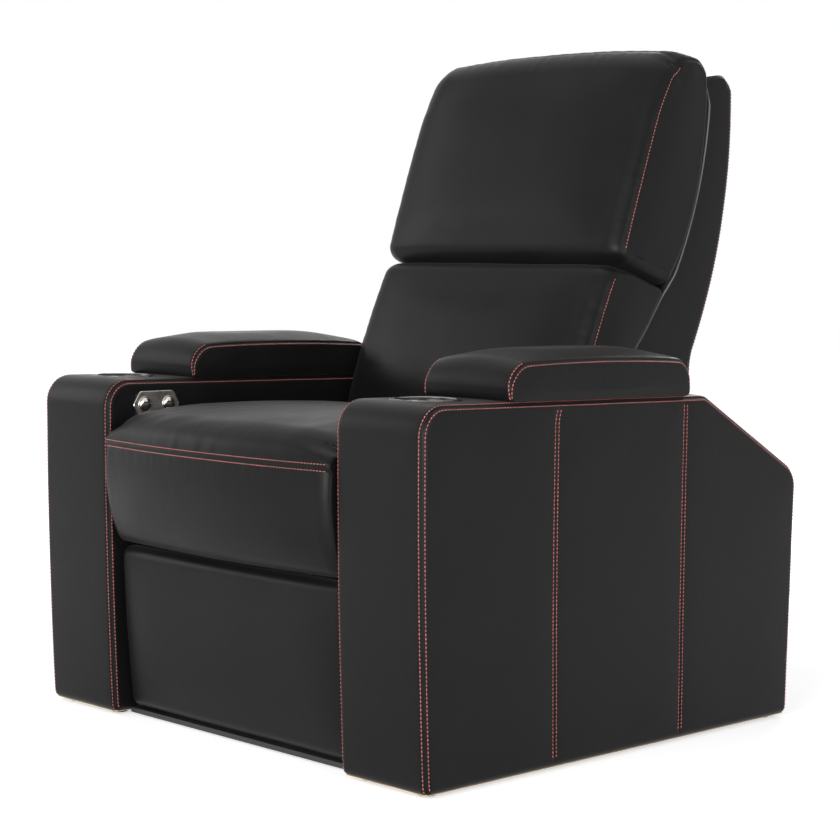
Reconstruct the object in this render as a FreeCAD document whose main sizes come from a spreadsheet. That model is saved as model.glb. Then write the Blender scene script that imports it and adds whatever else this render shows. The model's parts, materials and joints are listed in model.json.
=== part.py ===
"""Cinema recliner seat, built the way it comes apart on a bench.

Frame: X to the viewer's right as seen from the front, Y towards the back, Z up, millimetres.
Inside the sub-parts Y is counted from the foot of the arm fronts; each placement then moves it by
origin_setback, so that the origin lies on the floor under the middle of the seat.
Right and left are the sitter's own, so the right arm lies at negative X.
"""
import FreeCAD
import Part
import Sketcher
import math
import os

Vector = FreeCAD.Vector

DIMENSIONS = [
    # overall layout
    ("origin_setback", 435.65, "arm fronts to the origin"),
    ("seat_gap", 560.0, "clear width between the arms"),
    ("glide_height", 5.5, "height of the plastic glides"),
    ("soft_clearance", 0.4, "gap between upholstered faces that meet"),
    ("fit_clearance", 0.2, "gap between bolted or seated rigid faces"),
    ("running_clearance", 0.06, "radial gap of a pin in its bore"),
    ("open_clearance", 0.35, "radial gap at the two pivots that close the link loops"),
    # arms
    ("arm_width", 182.0, "width of one arm"),
    ("arm_height", 560.0, "top of the arm front above the floor"),
    ("arm_depth", 859.0, "arm front to arm rear"),
    ("arm_top_fall", 9.0, "how far the arm top falls towards the slope"),
    ("arm_slope_start", 613.0, "where the arm top starts to slope down"),
    ("arm_rear_height", 414.0, "height of the arm rear"),
    ("arm_lean", 16.0, "how far the arm front leans forward at the top"),
    ("arm_belly_height", 252.0, "height of the bend in the arm front"),
    ("arm_belly", 11.0, "how far the front stands forward at that bend"),
    ("arm_rear_tuck", 12.0, "how far the foot of the arm rear is drawn in"),
    ("arm_front_radius", 42.0, "rounding of the top front corner"),
    ("arm_slope_radius", 22.0, "rounding where the slope starts"),
    ("arm_rear_radius", 36.0, "rounding at the foot of the slope"),
    ("arm_foot_radius", 10.0, "rounding of the two bottom corners"),
    ("arm_edge_radius", 9.0, "rounding of the long edges of an arm"),
    ("cover_thickness", 6.0, "leather and foam on the arm frame"),
    ("ply_thickness", 15.0, "plywood of the arm frame"),
    # arm pads
    ("pad_start", 163.0, "front of the arm pad"),
    ("pad_end", 572.0, "rear of the arm pad"),
    ("pad_thickness", 54.0, "height of the pad's boxing"),
    ("pad_crown", 10.0, "crown of the pad over its boxing"),
    ("pad_front_radius", 34.0, "rounding of the pad's front top edge"),
    ("pad_rear_radius", 26.0, "rounding of the pad's rear top edge"),
    ("pad_foot_radius", 4.0, "rounding of the pad's lower edges"),
    ("pad_front_swell", 6.0, "swell of the pad's front top"),
    ("pad_edge_drop", 8.0, "top of the boxing under the pad's flat middle"),
    ("pad_side_drop", 14.0, "how far the pad's outermost section is lower"),
    ("pad_side_inset", 9.0, "how far that section is drawn in at both ends"),
    ("pad_seam_drop", 4.0, "how far the section beside it is lower"),
    ("pad_seam_inset", 2.0, "how far it is drawn in at both ends"),
    # cup holders
    ("cup_radius", 44.5, "inside radius of a cup holder"),
    ("cup_depth", 72.0, "depth of a cup holder"),
    ("cup_wall", 1.6, "wall of a cup holder"),
    ("cup_flange", 53.5, "radius of the flange"),
    ("cup_flange_height", 2.2, "thickness of the flange"),
    ("cup_y", 78.0, "cup holder's centre behind the arm foot"),
    ("cup_flange_seat", 1.2, "flange over the arm's sloping top at its centre"),
    ("cup_flange_bevel", 0.8, "bevel of the flange's rim"),
    # seat switch
    ("switch_y", 83.0, "centre of the switch plate"),
    ("switch_z", 516.5, "centre height of the switch plate"),
    ("switch_length", 96.0, "length of the switch plate"),
    ("switch_height", 45.0, "height of the switch plate"),
    ("switch_shoulder", 68.0, "length of the plate's straight top"),
    ("switch_plate", 2.0, "thickness of the switch plate"),
    ("switch_corner", 7.0, "corner rounding of the switch plate"),
    ("switch_bevel", 0.7, "bevel round the switch plate"),
    ("button_spacing", 49.0, "distance between the two buttons"),
    ("button_radius", 11.3, "radius of a button cap"),
    ("button_rise", 3.6, "how far a button stands out of the plate"),
    ("button_travel", 1.8, "travel of a button"),
    ("button_dome", 2.6, "rounding of a button cap"),
    ("stem_radius", 5.0, "radius of a button stem"),
    ("stem_length", 17.0, "length of a button stem"),
    ("stem_room", 8.0, "depth of the bore behind a button stem"),
    ("button_clearance", 0.25, "gap round a button cap"),
    ("box_length", 84.0, "length of the switch box"),
    ("box_height", 36.0, "height of the switch box"),
    ("box_depth", 34.0, "depth of the switch box"),
    ("well_depth", 4.4, "depth of the wells under the caps"),
    # base
    ("rail_width", 23.0, "width of a base rail"),
    ("rail_height", 38.0, "height of a base rail"),
    ("rail_wall", 2.5, "steel of a base rail"),
    ("rail_lift", 3.6, "height of the glides under the rails"),
    ("rail_notch", 98.0, "rear end of the low part of a rail, under the legrest"),
    ("glide_radius", 13.0, "radius of a glide"),
    ("glide_inset", 32.0, "centre of a glide from the arm's edges"),
    ("front_bar_y", 32.0, "front edge of the front cross bar"),
    ("front_bar_width", 26.0, "width of the front cross bar"),
    ("front_bar_height", 8.0, "thickness of the front cross bar"),
    ("rear_tube_y", 700.0, "front face of the rear cross tube"),
    ("rear_tube_width", 40.0, "width of the rear cross tube"),
    ("rear_tube_height", 20.0, "height of the rear cross tube"),
    ("rail_glide_radius", 10.4, "radius of a glide under a rail"),
    ("bolt_radius", 4.0, "radius of the arm bolts"),
    ("bolt_head", 6.5, "half width across the flats of a bolt head"),
    ("bolt_head_height", 5.0, "height of a bolt head"),
    ("bolt_front", 120.0, "place of the front arm bolt"),
    ("bolt_rear", 660.0, "place of the rear arm bolt"),
    ("bolt_z", 24.0, "height of the arm bolts"),
    ("riser_width", 42.0, "width of a riser"),
    ("riser_front", 205.0, "front edge of the front riser"),
    ("riser_rear", 505.0, "front edge of the rear riser"),
    # linkage
    ("plate_thickness", 4.0, "steel of the links and plates"),
    ("layer_gap", 4.0, "gap between two layers of links"),
    ("side_plate_inner", 248.0, "inner face of the side plates"),
    ("link_half", 11.5, "half width of a link"),
    ("pin_radius", 4.0, "radius of a link pin"),
    ("pin_head", 7.0, "radius of a pin head"),
    ("pin_head_height", 2.4, "height of a pin head"),
    ("collar_gap", 0.25, "gap of a spacing collar to each link"),
    ("head_gap", 0.1, "gap of a pin head to its link"),
    ("front_pivot_y", 87.5, "fixed pivot of the front link"),
    ("front_pivot_z", 288.5, "height of that pivot"),
    ("rear_pivot_y", 131.0, "fixed pivot of the rear link"),
    ("rear_pivot_z", 300.0, "height of that pivot"),
    ("foot_pivot_y", 158.0, "lower pivot of the front link"),
    ("foot_pivot_z", 60.0, "height of that pivot"),
    ("inner_step_y", 22.7, "outer link to inner link, along Y"),
    ("inner_step_z", 44.3, "outer link to inner link, along Z"),
    ("board_pivot_y", 82.0, "outer link's pivot on the legrest"),
    ("board_pivot_z", 185.5, "height of that pivot"),
    ("shaft_radius", 8.0, "radius of the torque shaft"),
    ("side_plate_top", 350.0, "top edge of the side plates"),
    ("side_plate_low", 268.0, "bottom edge of the side plates"),
    ("side_plate_nose", 294.0, "bottom edge of the side plates' nose"),
    ("side_plate_start", 30.0, "front end of the side plates"),
    ("side_plate_end", 560.0, "rear end of the side plates"),
    ("plate_corner", 24.0, "corner cut off at the rear of the side plates"),
    ("nose_step", 22.0, "start of the step in the nose, ahead of the front pivot"),
    ("nose_end", 6.0, "end of that step, ahead of the front pivot"),
    ("nose_fall", 4.0, "how far the nose falls towards its step"),
    ("window_radius", 17.0, "radius of the windows in the side plates"),
    ("window_height", 38.0, "centre of a window over the plates' bottom edge"),
    ("window_start", 150.0, "first window behind the rear pivot"),
    ("window_pitch", 60.0, "distance from window to window"),
    # legrest
    ("legrest_foot_y", 28.0, "bottom front edge of the legrest"),
    ("legrest_foot_z", 16.0, "height of that edge"),
    ("legrest_height", 270.0, "height of the legrest"),
    ("legrest_lean", 23.0, "how far its top stands ahead of its foot"),
    ("legrest_half", 271.0, "half width of the legrest pad"),
    ("legrest_pad", 38.0, "thickness of the legrest pad"),
    ("legrest_round", 15.0, "rounding of the pad's front edges"),
    ("legrest_rear_round", 3.0, "rounding of the pad's rear edges"),
    ("legrest_swell", 2.0, "swell of the legrest's face"),
    ("board_thickness", 12.0, "thickness of the legrest board"),
    ("board_inset", 8.0, "board's edge inside the pad's edge"),
    ("bracket_low", 92.0, "lower end of a legrest bracket on the board"),
    ("bracket_high", 246.0, "upper end of a legrest bracket on the board"),
    ("bracket_flange", 30.0, "width of a legrest bracket's flange"),
    ("bracket_nose", 14.0, "steel of a bracket behind its pivots"),
    ("bracket_drop", 28.0, "bracket's lower corner under the board pivot"),
    ("bracket_cheek", 10.0, "bracket's rear corner under the upper pivot"),
    ("bracket_tip", 8.0, "bracket's top corner behind the upper pivot"),
    ("bracket_rise", 15.0, "bracket's top corner over the upper pivot"),
    # drive
    ("lever_reach", 29.7, "lever pin from the shaft, along Y and along Z"),
    ("lever_half", 12.0, "half width of the drive lever"),
    ("lever_plate", 5.0, "steel of the drive lever"),
    ("lever_pin_radius", 5.0, "radius of the lever pin"),
    ("pin_stand_out", 2.0, "how far the lever pin stands out of the lever"),
    ("shaft_stand_out", 1.0, "how far the shaft stands out of the side plates"),
    ("clevis_plate", 8.0, "thickness of the rod's slotted eye"),
    ("clevis_gap", 1.0, "gap between eye and lever plates"),
    ("rod_drop", 35.8, "rod axis under the shaft axis"),
    ("slot_width", 13.2, "width of the slot in the eye"),
    ("slot_height", 23.6, "height of the slot in the eye"),
    ("eye_rim", 8.0, "steel round the slot"),
    ("eye_neck", 16.0, "steel between the slot and the rod's end"),
    ("eye_socket", 3.0, "how deep the rod sits in the eye"),
    ("rod_radius", 7.0, "radius of the drive rod"),
    ("rod_length", 150.0, "length of the drive rod behind its eye"),
    ("tube_radius", 13.0, "outer radius of the drive tube"),
    ("tube_start", 232.0, "front end of the drive tube"),
    ("gearbox_start", 345.0, "front face of the gearbox"),
    ("gearbox_length", 72.0, "length of the gearbox"),
    ("gearbox_half", 30.0, "half width and half height of the gearbox"),
    ("gearbox_round", 7.0, "rounding of the gearbox"),
    ("motor_radius", 24.0, "radius of the motor can"),
    ("motor_length", 92.0, "length of the motor can"),
    ("hanger_width", 48.0, "width of the motor bracket"),
    ("hanger_start", 12.0, "bracket behind the gearbox's front face"),
    ("hanger_back", 6.0, "bracket's upright ahead of the gearbox's rear face"),
    ("hanger_lip", 2.0, "bracket's front edge ahead of the rail's rear face"),
    # seat
    ("seat_rail_depth", 25.0, "depth of the seat's front and rear rails"),
    ("seat_rail_height", 33.0, "height of the seat rails"),
    ("seat_rail_wall", 2.0, "wall of the seat rails"),
    ("seat_rear", 420.0, "front face of the rear seat rail"),
    ("seat_side_inner", 196.0, "inner face of the seat's side rails"),
    ("seat_side_width", 24.0, "width of a side rail"),
    ("webbing_thickness", 2.0, "thickness of the webbing"),
    ("webbing_width", 50.0, "width of a webbing band"),
    ("seat_bands", 5.0, "number of bands under the seat"),
    ("seat_half", 276.0, "half width of the seat cushion"),
    ("seam_y", -25.0, "seat seam at the arms"),
    ("seam_z", 459.0, "height of the seat seam"),
    ("seat_bow", 25.0, "how far the middle of the seat stands forward"),
    ("seat_end", 482.0, "rear of the seat cushion"),
    ("seat_side_z", 479.0, "top of the cushion beside the arms"),
    ("seat_crown_z", 519.0, "highest line of the seat cushion"),
    ("seat_edge_inset", 6.0, "how far the seat's sides are drawn in"),
    ("seat_nose_depth", 16.0, "seam to the top front of the cushion"),
    ("seat_nose_radius", 22.0, "rounding of the cushion's top front"),
    ("seat_seam_radius", 3.0, "rounding of the cushion and roll at the seam"),
    ("seat_top_bulge", 15.0, "bulge of the cushion's top along the seat's depth"),
    ("seat_side_bulge", 3.0, "the same bulge beside the arms"),
    ("seat_rear_fall", 6.0, "how far the cushion's top falls to the rear"),
    ("seat_rear_radius", 26.0, "rounding of the cushion's top rear"),
    ("seat_foot_radius", 8.0, "rounding of the cushion's lower rear"),
    ("seat_low_radius", 2.0, "rounding where the cushion meets the roll"),
    ("roll_bottom", 293.0, "underside of the front roll"),
    ("roll_back", 28.0, "rear face of the front roll"),
    ("roll_foot_y", 3.0, "lower front edge of the roll at the arms"),
    ("roll_swell", 13.0, "swell of the roll's front face"),
    # back
    ("back_pivot_y", 470.0, "recline pivot"),
    ("back_pivot_z", 300.0, "height of the recline pivot"),
    ("pivot_bolt_radius", 6.0, "radius of the recline bolt"),
    ("pivot_boss", 22.0, "radius of the bracket round the recline bolt"),
    ("knee_y", 692.0, "knee of the back bracket, where it meets the upright"),
    ("knee_z", 432.0, "height of that knee"),
    ("strap_y", 724.0, "upper end of the back bracket on the upright"),
    ("strap_z", 540.0, "height of that end"),
    ("strap_half", 14.0, "half width of the back bracket on the upright"),
    ("lumbar_half", 273.0, "half width of the lumbar cushion"),
    ("lumbar_foot_y", 486.0, "front foot of the lumbar cushion"),
    ("lumbar_foot_z", 470.0, "height of that foot"),
    ("lumbar_top_y", 592.0, "front top of the lumbar cushion"),
    ("lumbar_top_z", 757.0, "height of the crease at the front"),
    ("lumbar_foot_radius", 26.0, "rounding of the lumbar cushion's front foot"),
    ("lumbar_bulge", 7.0, "bulge of its face"),
    ("lumbar_top_radius", 20.0, "rounding of its top front"),
    ("lumbar_crease_radius", 8.0, "rounding of its rear top, in the crease"),
    ("lumbar_hip_radius", 60.0, "bend of its rear above the arms"),
    ("lumbar_rear_radius", 14.0, "rounding of its rear foot"),
    ("lumbar_rear_drop", 34.0, "rear foot under the front foot"),
    ("lumbar_rear_step", 6.0, "rear foot behind the shell's front edge"),
    ("lumbar_hip_seat", 1.2, "lumbar cushion ahead of the shell above the arms"),
    ("crease_fall", 42.0, "how far the crease falls towards the rear"),
    ("crease_gap", 5.0, "opening of the crease at the front"),
    ("head_half", 283.0, "half width of the head cushion"),
    ("head_top_y", 721.0, "front of the head cushion's top"),
    ("head_top_z", 1119.0, "top of the head cushion at its sides"),
    ("head_crown", 10.0, "crown of the head cushion"),
    ("head_rear_y", 826.0, "rear of the head cushion's top"),
    ("head_rear_z", 1102.0, "height of that rear edge"),
    ("head_foot_step", 4.0, "head cushion's foot behind and above the crease"),
    ("head_foot_radius", 24.0, "rounding of its front foot"),
    ("head_bulge", 2.0, "bulge of its face"),
    ("head_top_radius", 46.0, "rounding of its top front"),
    ("head_top_bulge", 1.0, "bulge of its top"),
    ("head_rear_radius", 26.0, "rounding of its top rear"),
    ("head_heel_radius", 10.0, "rounding of its rear foot"),
    ("shell_half", 266.0, "half width of the back shell"),
    ("shell_wall", 12.0, "padded board of the back shell"),
    ("foam_gap", 1.2, "foam's front behind the shell's front edge"),
    ("foam_side_gap", 2.0, "foam inside the back brackets"),
    ("foam_drop", 16.0, "foam's top below the top of the uprights"),
    ("shell_top_fall", 8.0, "how far the shell's top falls towards its front edge"),
    ("shell_foot_z", 330.0, "bottom of the back shell"),
    ("shell_foot_y", 612.0, "front edge of the shell at its foot"),
    ("shell_front_mid_y", 783.0, "front edge of the shell halfway"),
    ("shell_front_mid_z", 816.0, "height of that point"),
    ("shell_front_low_y", 655.0, "front edge of the shell above the arms"),
    ("shell_front_low_z", 608.0, "height of that point"),
    ("shell_front_top_y", 834.0, "front edge of the shell at its top"),
    ("shell_top_z", 1085.0, "top of the back shell"),
    ("shell_rear_y", 920.0, "rear of the back shell"),
    ("shell_rear_mid_y", 889.0, "rear of the shell halfway"),
    ("shell_rear_mid_z", 768.0, "height of that point"),
    ("shell_rear_low_y", 822.0, "rear of the shell between the arms"),
    ("shell_rear_low_z", 596.0, "height of that point"),
    ("shell_round", 20.0, "rounding of the shell's rear edges"),
    ("shell_side_round", 18.0, "rounding of the shell's rear side edges"),
    ("shell_foot_lean", 4.0, "how far the shell's rear foot is drawn in"),
    ("shell_hip_radius", 150.0, "bend of the shell's rear above the arms"),
    ("upright_foot_y", 672.0, "front of the uprights at their foot"),
    ("upright_foot_z", 392.0, "foot of the uprights"),
    ("upright_top_y", 864.0, "front of the uprights at their top"),
    ("upright_top_z", 1050.0, "top of the uprights"),
    ("upright_depth", 30.0, "depth of the uprights"),
    ("upright_width", 22.0, "width of the uprights"),
    ("back_bands", 7.0, "number of bands across the back"),
    ("back_band_start", 20.0, "lowest band over the foot of the uprights"),
    ("back_band_pitch", 88.9189189189, "distance from band to band"),
    ("back_band_inset", 2.0, "bands' ends inside the uprights' outer faces"),
    ("cross_height", 48.0, "height of the cross rails of the back"),
]

document = FreeCAD.newDocument("recliner")
sheet = document.addObject("Spreadsheet::Sheet", "dim")
for row, (alias, amount, meaning) in enumerate(DIMENSIONS, start=1):
    sheet.set("A%d" % row, meaning)
    sheet.set("B%d" % row, str(amount))
    sheet.setAlias("B%d" % row, alias)
document.recompute()

SUBPARTS = []
SIDES = {"right": -1, "left": 1}


def value(expression):
    """Number that an expression of the sheet's cells stands for."""
    return float(sheet.evalExpression(str(expression)))


def keep(item, node):
    """Names a finished sub-part and puts it on the list of those written out."""
    item.Label = node
    SUBPARTS.append(item)
    return item


def place(item, x="0", y="0", z="0"):
    """Binds a position, given in the arm-front frame, to the sheet."""
    item.setExpression("Placement.Base.x", x)
    item.setExpression("Placement.Base.y", "%s - dim.origin_setback" % y)
    item.setExpression("Placement.Base.z", z)
    return item


def mirrored(side, inner, thickness):
    """Lower X of a slab that starts at |x| = inner and is so thick, on either side."""
    if side > 0:
        return inner
    return "-(%s) - (%s)" % (inner, thickness)


TURNS = {
    "X": FreeCAD.Rotation(Vector(0, 1, 0), 90),
    "Y": FreeCAD.Rotation(Vector(1, 0, 0), -90),
    "Z": FreeCAD.Rotation(),
}


def cylinder(name, axis, radius, length, x="0", y="0", z="0"):
    """Cylinder that starts at a point and runs along a row axis."""
    item = document.addObject("Part::Cylinder", name)
    item.setExpression("Radius", radius)
    item.setExpression("Height", length)
    item.Placement = FreeCAD.Placement(Vector(), TURNS[axis])
    return place(item, x, y, z)


def box(name, length, width, height, x="0", y="0", z="0"):
    """Box with its lowest corner at a point."""
    item = document.addObject("Part::Box", name)
    item.setExpression("Length", length)
    item.setExpression("Width", width)
    item.setExpression("Height", height)
    return place(item, x, y, z)


def fuse(name, pieces):
    """One solid of several pieces."""
    item = document.addObject("Part::MultiFuse", name)
    item.Shapes = pieces
    return item


def group(name, pieces):
    """Separate solids that share one sub-part."""
    item = document.addObject("Part::Compound", name)
    item.Links = pieces
    return item


def cut(name, base, tools):
    """Base without the tools."""
    item = document.addObject("Part::Cut", name)
    item.Base = base
    item.Tool = tools[0] if len(tools) == 1 else fuse(name + "_tools", tools)
    return item


def new_body(name):
    """Empty body in the arm-front frame."""
    return place(document.addObject("PartDesign::Body", name))


def new_sketch(body, plane, offset="0"):
    """Sketch on one of the body's origin planes, moved along the plane's normal."""
    sketch = body.newObject("Sketcher::SketchObject", body.Name + "_sketch")
    support = [item for item in body.Origin.OriginFeatures if item.Role == plane][0]
    sketch.AttachmentSupport = [(support, "")]
    sketch.MapMode = "FlatFace"
    sketch.setExpression("AttachmentOffset.Base.z", offset)
    return sketch


def drive(sketch, index, end, x, y):
    """Holds a point of the sketch at the place that two expressions give."""
    for kind, expression, axis in (("DistanceX", x, -2), ("DistanceY", y, -1)):
        if abs(value(expression)) < 1e-6:
            sketch.addConstraint(Sketcher.Constraint("PointOnObject", index, end, axis))
            continue
        number = sketch.addConstraint(
            Sketcher.Constraint(kind, -1, 1, index, end, value(expression)))
        sketch.setExpression("Constraints[%d]" % number, expression)


def outline(sketch, corners):
    """Closed outline. A corner is (x, y), or (x, y, mid_x, mid_y) where the side that leaves it
    is an arc through the second point."""
    first = sketch.GeometryCount
    count = len(corners)
    points = [Vector(value(corner[0]), value(corner[1]), 0) for corner in corners]
    starts = []
    for i, corner in enumerate(corners):
        here, there = points[i], points[(i + 1) % count]
        if len(corner) == 2:
            sketch.addGeometry(Part.LineSegment(here, there))
        else:
            sketch.addGeometry(Part.Arc(here, Vector(value(corner[2]), value(corner[3]), 0), there))
        begins = sketch.getPoint(first + i, 1).distanceToPoint(here) < 1e-3
        starts.append(1 if begins else 2)
    for i in range(count):
        following = (i + 1) % count
        sketch.addConstraint(Sketcher.Constraint(
            "Coincident", first + i, 3 - starts[i], first + following, starts[following]))
    for i, corner in enumerate(corners):
        drive(sketch, first + i, starts[i], corner[0], corner[1])
        if len(corner) == 4:
            middle = sketch.addGeometry(
                Part.Point(Vector(value(corner[2]), value(corner[3]), 0)), True)
            drive(sketch, middle, 1, corner[2], corner[3])
            sketch.addConstraint(Sketcher.Constraint("PointOnObject", middle, 1, first + i))


def circle(sketch, x, y, radius):
    """Circle with a driven centre and radius."""
    index = sketch.addGeometry(Part.Circle(
        Vector(value(x), value(y), 0), Vector(0, 0, 1), value(radius)))
    drive(sketch, index, 3, x, y)
    number = sketch.addConstraint(Sketcher.Constraint("Radius", index, value(radius)))
    sketch.setExpression("Constraints[%d]" % number, radius)


def slot_outline(sketch, first, last, radius):
    """Outline of a link: two half circles about its end pivots and their common tangents."""
    a = Vector(value(first[0]), value(first[1]), 0)
    b = Vector(value(last[0]), value(last[1]), 0)
    along = (b - a).normalize() * value(radius)
    across = Vector(-along.y, along.x, 0)
    sketch.addGeometry(Part.Arc(a + across, a - along, a - across))
    sketch.addGeometry(Part.LineSegment(a - across, b - across))
    sketch.addGeometry(Part.Arc(b - across, b + along, b + across))
    sketch.addGeometry(Part.LineSegment(b + across, a + across))
    for i in range(4):
        sketch.addConstraint(Sketcher.Constraint("Tangent", i, 2, (i + 1) % 4, 1))
    drive(sketch, 0, 3, *first)
    drive(sketch, 2, 3, *last)
    number = sketch.addConstraint(Sketcher.Constraint("Radius", 0, value(radius)))
    sketch.setExpression("Constraints[%d]" % number, radius)


def pad(body, sketch, length):
    """Pads a sketch along its plane's normal."""
    feature = body.newObject("PartDesign::Pad", body.Name + "_pad")
    feature.Profile = sketch
    feature.setExpression("Length", length)
    sketch.Visibility = False
    return feature


def revolve(body, sketch):
    """Turns a sketch once round its upright axis."""
    feature = body.newObject("PartDesign::Revolution", body.Name + "_turn")
    feature.Profile = sketch
    feature.ReferenceAxis = (sketch, ["V_Axis"])
    feature.Angle = 360
    return feature


def dress(body, kind, amount, wanted):
    """Fillet or chamfer on those edges of the body that the test picks out."""
    document.recompute()
    base = body.Tip
    names = ["Edge%d" % (i + 1) for i, edge in enumerate(base.Shape.Edges) if wanted(edge)]
    feature = body.newObject("PartDesign::" + kind, body.Name + "_" + kind.lower())
    feature.Base = (base, names)
    feature.setExpression("Radius" if kind == "Fillet" else "Size", amount)
    return feature


def runs_along_x(y, z):
    """Test for the edge along X that passes through (y, z)."""
    y, z = value(y), value(z)

    def test(edge):
        ends = [vertex.Point for vertex in edge.Vertexes]
        return len(ends) == 2 and all(math.hypot(p.y - y, p.z - z) < 0.01 for p in ends)
    return test


def lies_at(axis, places):
    """Test for edges in one of the planes across an axis."""
    def test(edge):
        ends = [getattr(vertex.Point, axis) for vertex in edge.Vertexes]
        ends.append(getattr(edge.CenterOfMass, axis))
        return any(all(abs(end - spot) < 0.01 for end in ends) for spot in places)
    return test


def slab(name, side, inner, thickness, corners, holes=()):
    """Plate that stands in a plane across X, with round holes."""
    body = new_body(name)
    sketch = new_sketch(body, "YZ_Plane", mirrored(side, inner, thickness))
    outline(sketch, corners)
    for hole in holes:
        circle(sketch, *hole)
    pad(body, sketch, thickness)
    return body


def layer(number):
    """Inner face of a layer of links; layer 0 is the side plates."""
    return "dim.side_plate_inner - %d * (dim.plate_thickness + dim.layer_gap)" % number


FRONT_PIVOT = ("dim.front_pivot_y", "dim.front_pivot_z")
REAR_PIVOT = ("dim.rear_pivot_y", "dim.rear_pivot_z")
FOOT_PIVOT = ("dim.foot_pivot_y", "dim.foot_pivot_z")
CLOSING_PIVOT = ("dim.foot_pivot_y + dim.rear_pivot_y - dim.front_pivot_y",
                 "dim.foot_pivot_z + dim.rear_pivot_z - dim.front_pivot_z")
STEP_PIVOT = ("dim.foot_pivot_y + dim.inner_step_y", "dim.foot_pivot_z + dim.inner_step_z")
BOARD_PIVOT = ("dim.board_pivot_y", "dim.board_pivot_z")
UPPER_PIVOT = ("dim.board_pivot_y + dim.inner_step_y", "dim.board_pivot_z + dim.inner_step_z")
BACK_PIVOT = ("dim.back_pivot_y", "dim.back_pivot_z")
LEVER_PIN = ("dim.rear_pivot_y + dim.lever_reach", "dim.rear_pivot_z - dim.lever_reach")
LEVER_GAP = "dim.clevis_plate / 2 + dim.clevis_gap"
OVERSHOOT = "20"  # how far a cutting tool runs past the wall that it cuts
PIN_BORE = "dim.pin_radius + dim.running_clearance"
OPEN_BORE = "dim.pin_radius + dim.open_clearance"
SHAFT_BORE = "dim.shaft_radius + dim.running_clearance"


# Arms

def arm_outline(inset, foot):
    """Side outline of an arm, drawn in by an inset, down to a given foot height."""
    run = "(dim.arm_depth - dim.arm_slope_start)"
    fall = "(dim.arm_height - dim.arm_top_fall - dim.arm_rear_height)"
    hypotenuse = "sqrt(%s ^ 2 + %s ^ 2)" % (run, fall)
    return [
        ("0 + %s" % inset, foot),
        ("%s - dim.arm_belly" % inset, "dim.arm_belly_height"),
        ("%s - dim.arm_lean" % inset, "dim.arm_height - %s" % inset),
        ("dim.arm_slope_start - %s * (%s - %s) / %s" % (inset, hypotenuse, run, fall),
         "dim.arm_height - dim.arm_top_fall - %s" % inset),
        ("dim.arm_depth - %s" % inset,
         "dim.arm_rear_height - %s * (%s - %s) / %s" % (inset, hypotenuse, fall, run)),
        ("dim.arm_depth - dim.arm_rear_tuck - %s" % inset, foot),
    ]


def arm_block(name, side, inset, foot):
    """Solid block of the arm's outline with its round top front, drawn in by an inset."""
    body = new_body(name)
    width = "dim.arm_width - 2 * (%s)" % inset
    inner = "dim.seat_gap / 2 + %s" % inset
    sketch = new_sketch(body, "YZ_Plane", mirrored(side, inner, width))
    outline(sketch, arm_outline("(%s)" % inset, foot))
    pad(body, sketch, width)
    corner = arm_outline("(%s)" % inset, foot)[2]
    dress(body, "Fillet", "dim.arm_front_radius - (%s)" % inset, runs_along_x(*corner))
    return body


def arm_openings(name, side, margin):
    """Tools for the holes that an arm's cover and frame share."""
    middle = "%d * (dim.seat_gap + dim.arm_width) / 2" % side
    tools = [cylinder(name + "_cup", "Z", "dim.cup_radius + dim.cup_wall + %s" % margin,
                      "dim.cup_depth + 2 * %s" % OVERSHOOT, middle, "dim.cup_y",
                      "dim.arm_height - dim.cup_depth - %s" % OVERSHOOT)]
    wall = "dim.cover_thickness + dim.fit_clearance + dim.ply_thickness + 2 * %s" % OVERSHOOT
    for number, spot in enumerate(("dim.bolt_front", "dim.bolt_rear")):
        start = mirrored(side, "dim.seat_gap / 2 - %s" % OVERSHOOT, wall)
        tools.append(cylinder("%s_bolt%d" % (name, number), "X",
                              "dim.bolt_radius + %s" % margin, wall, start, spot, "dim.bolt_z"))
    if side < 0:
        tools.append(box(name + "_switch", "dim.box_depth + 2 * %s" % OVERSHOOT,
                         "dim.box_length + 2 * %s" % margin, "dim.box_height + 2 * %s" % margin,
                         "-dim.seat_gap / 2 - dim.box_depth - %s" % OVERSHOOT,
                         "dim.switch_y - dim.box_length / 2 - %s" % margin,
                         "dim.switch_z - dim.box_height / 2 - %s" % margin))
    return tools


def build_arm(word, side):
    """Upholstered cover, plywood frame and arm pad of one arm."""
    outer = arm_block(word + "_arm_form", side, "0", "dim.glide_height")
    corners = arm_outline("0", "dim.glide_height")
    radii = ("dim.arm_foot_radius", None, None, "dim.arm_slope_radius", "dim.arm_rear_radius",
             "dim.arm_foot_radius")
    for corner, radius in zip(corners, radii):
        if radius:
            dress(outer, "Fillet", radius, runs_along_x(*corner))
    reach = value("dim.seat_gap / 2")
    faces = (side * reach, side * (reach + value("dim.arm_width")))
    dress(outer, "Fillet", "dim.arm_edge_radius", lies_at("x", faces))
    hollow = arm_block(word + "_arm_hollow", side, "dim.cover_thickness", "-" + OVERSHOOT)
    margin = "dim.soft_clearance"
    keep(cut(word + "_arm_cover", outer, [hollow] + arm_openings(word + "_cover", side, margin)),
         word + "_arm_cover")
    skin = "dim.cover_thickness + dim.fit_clearance"
    frame = arm_block(word + "_arm_ply", side, skin, "dim.glide_height")
    room = arm_block(word + "_arm_room", side, skin + " + dim.ply_thickness",
                     "dim.glide_height + dim.ply_thickness")
    keep(cut(word + "_arm_frame", frame, [room] + arm_openings(word + "_frame", side, margin)),
         word + "_arm_frame")
    build_arm_pad(word, side)


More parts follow.
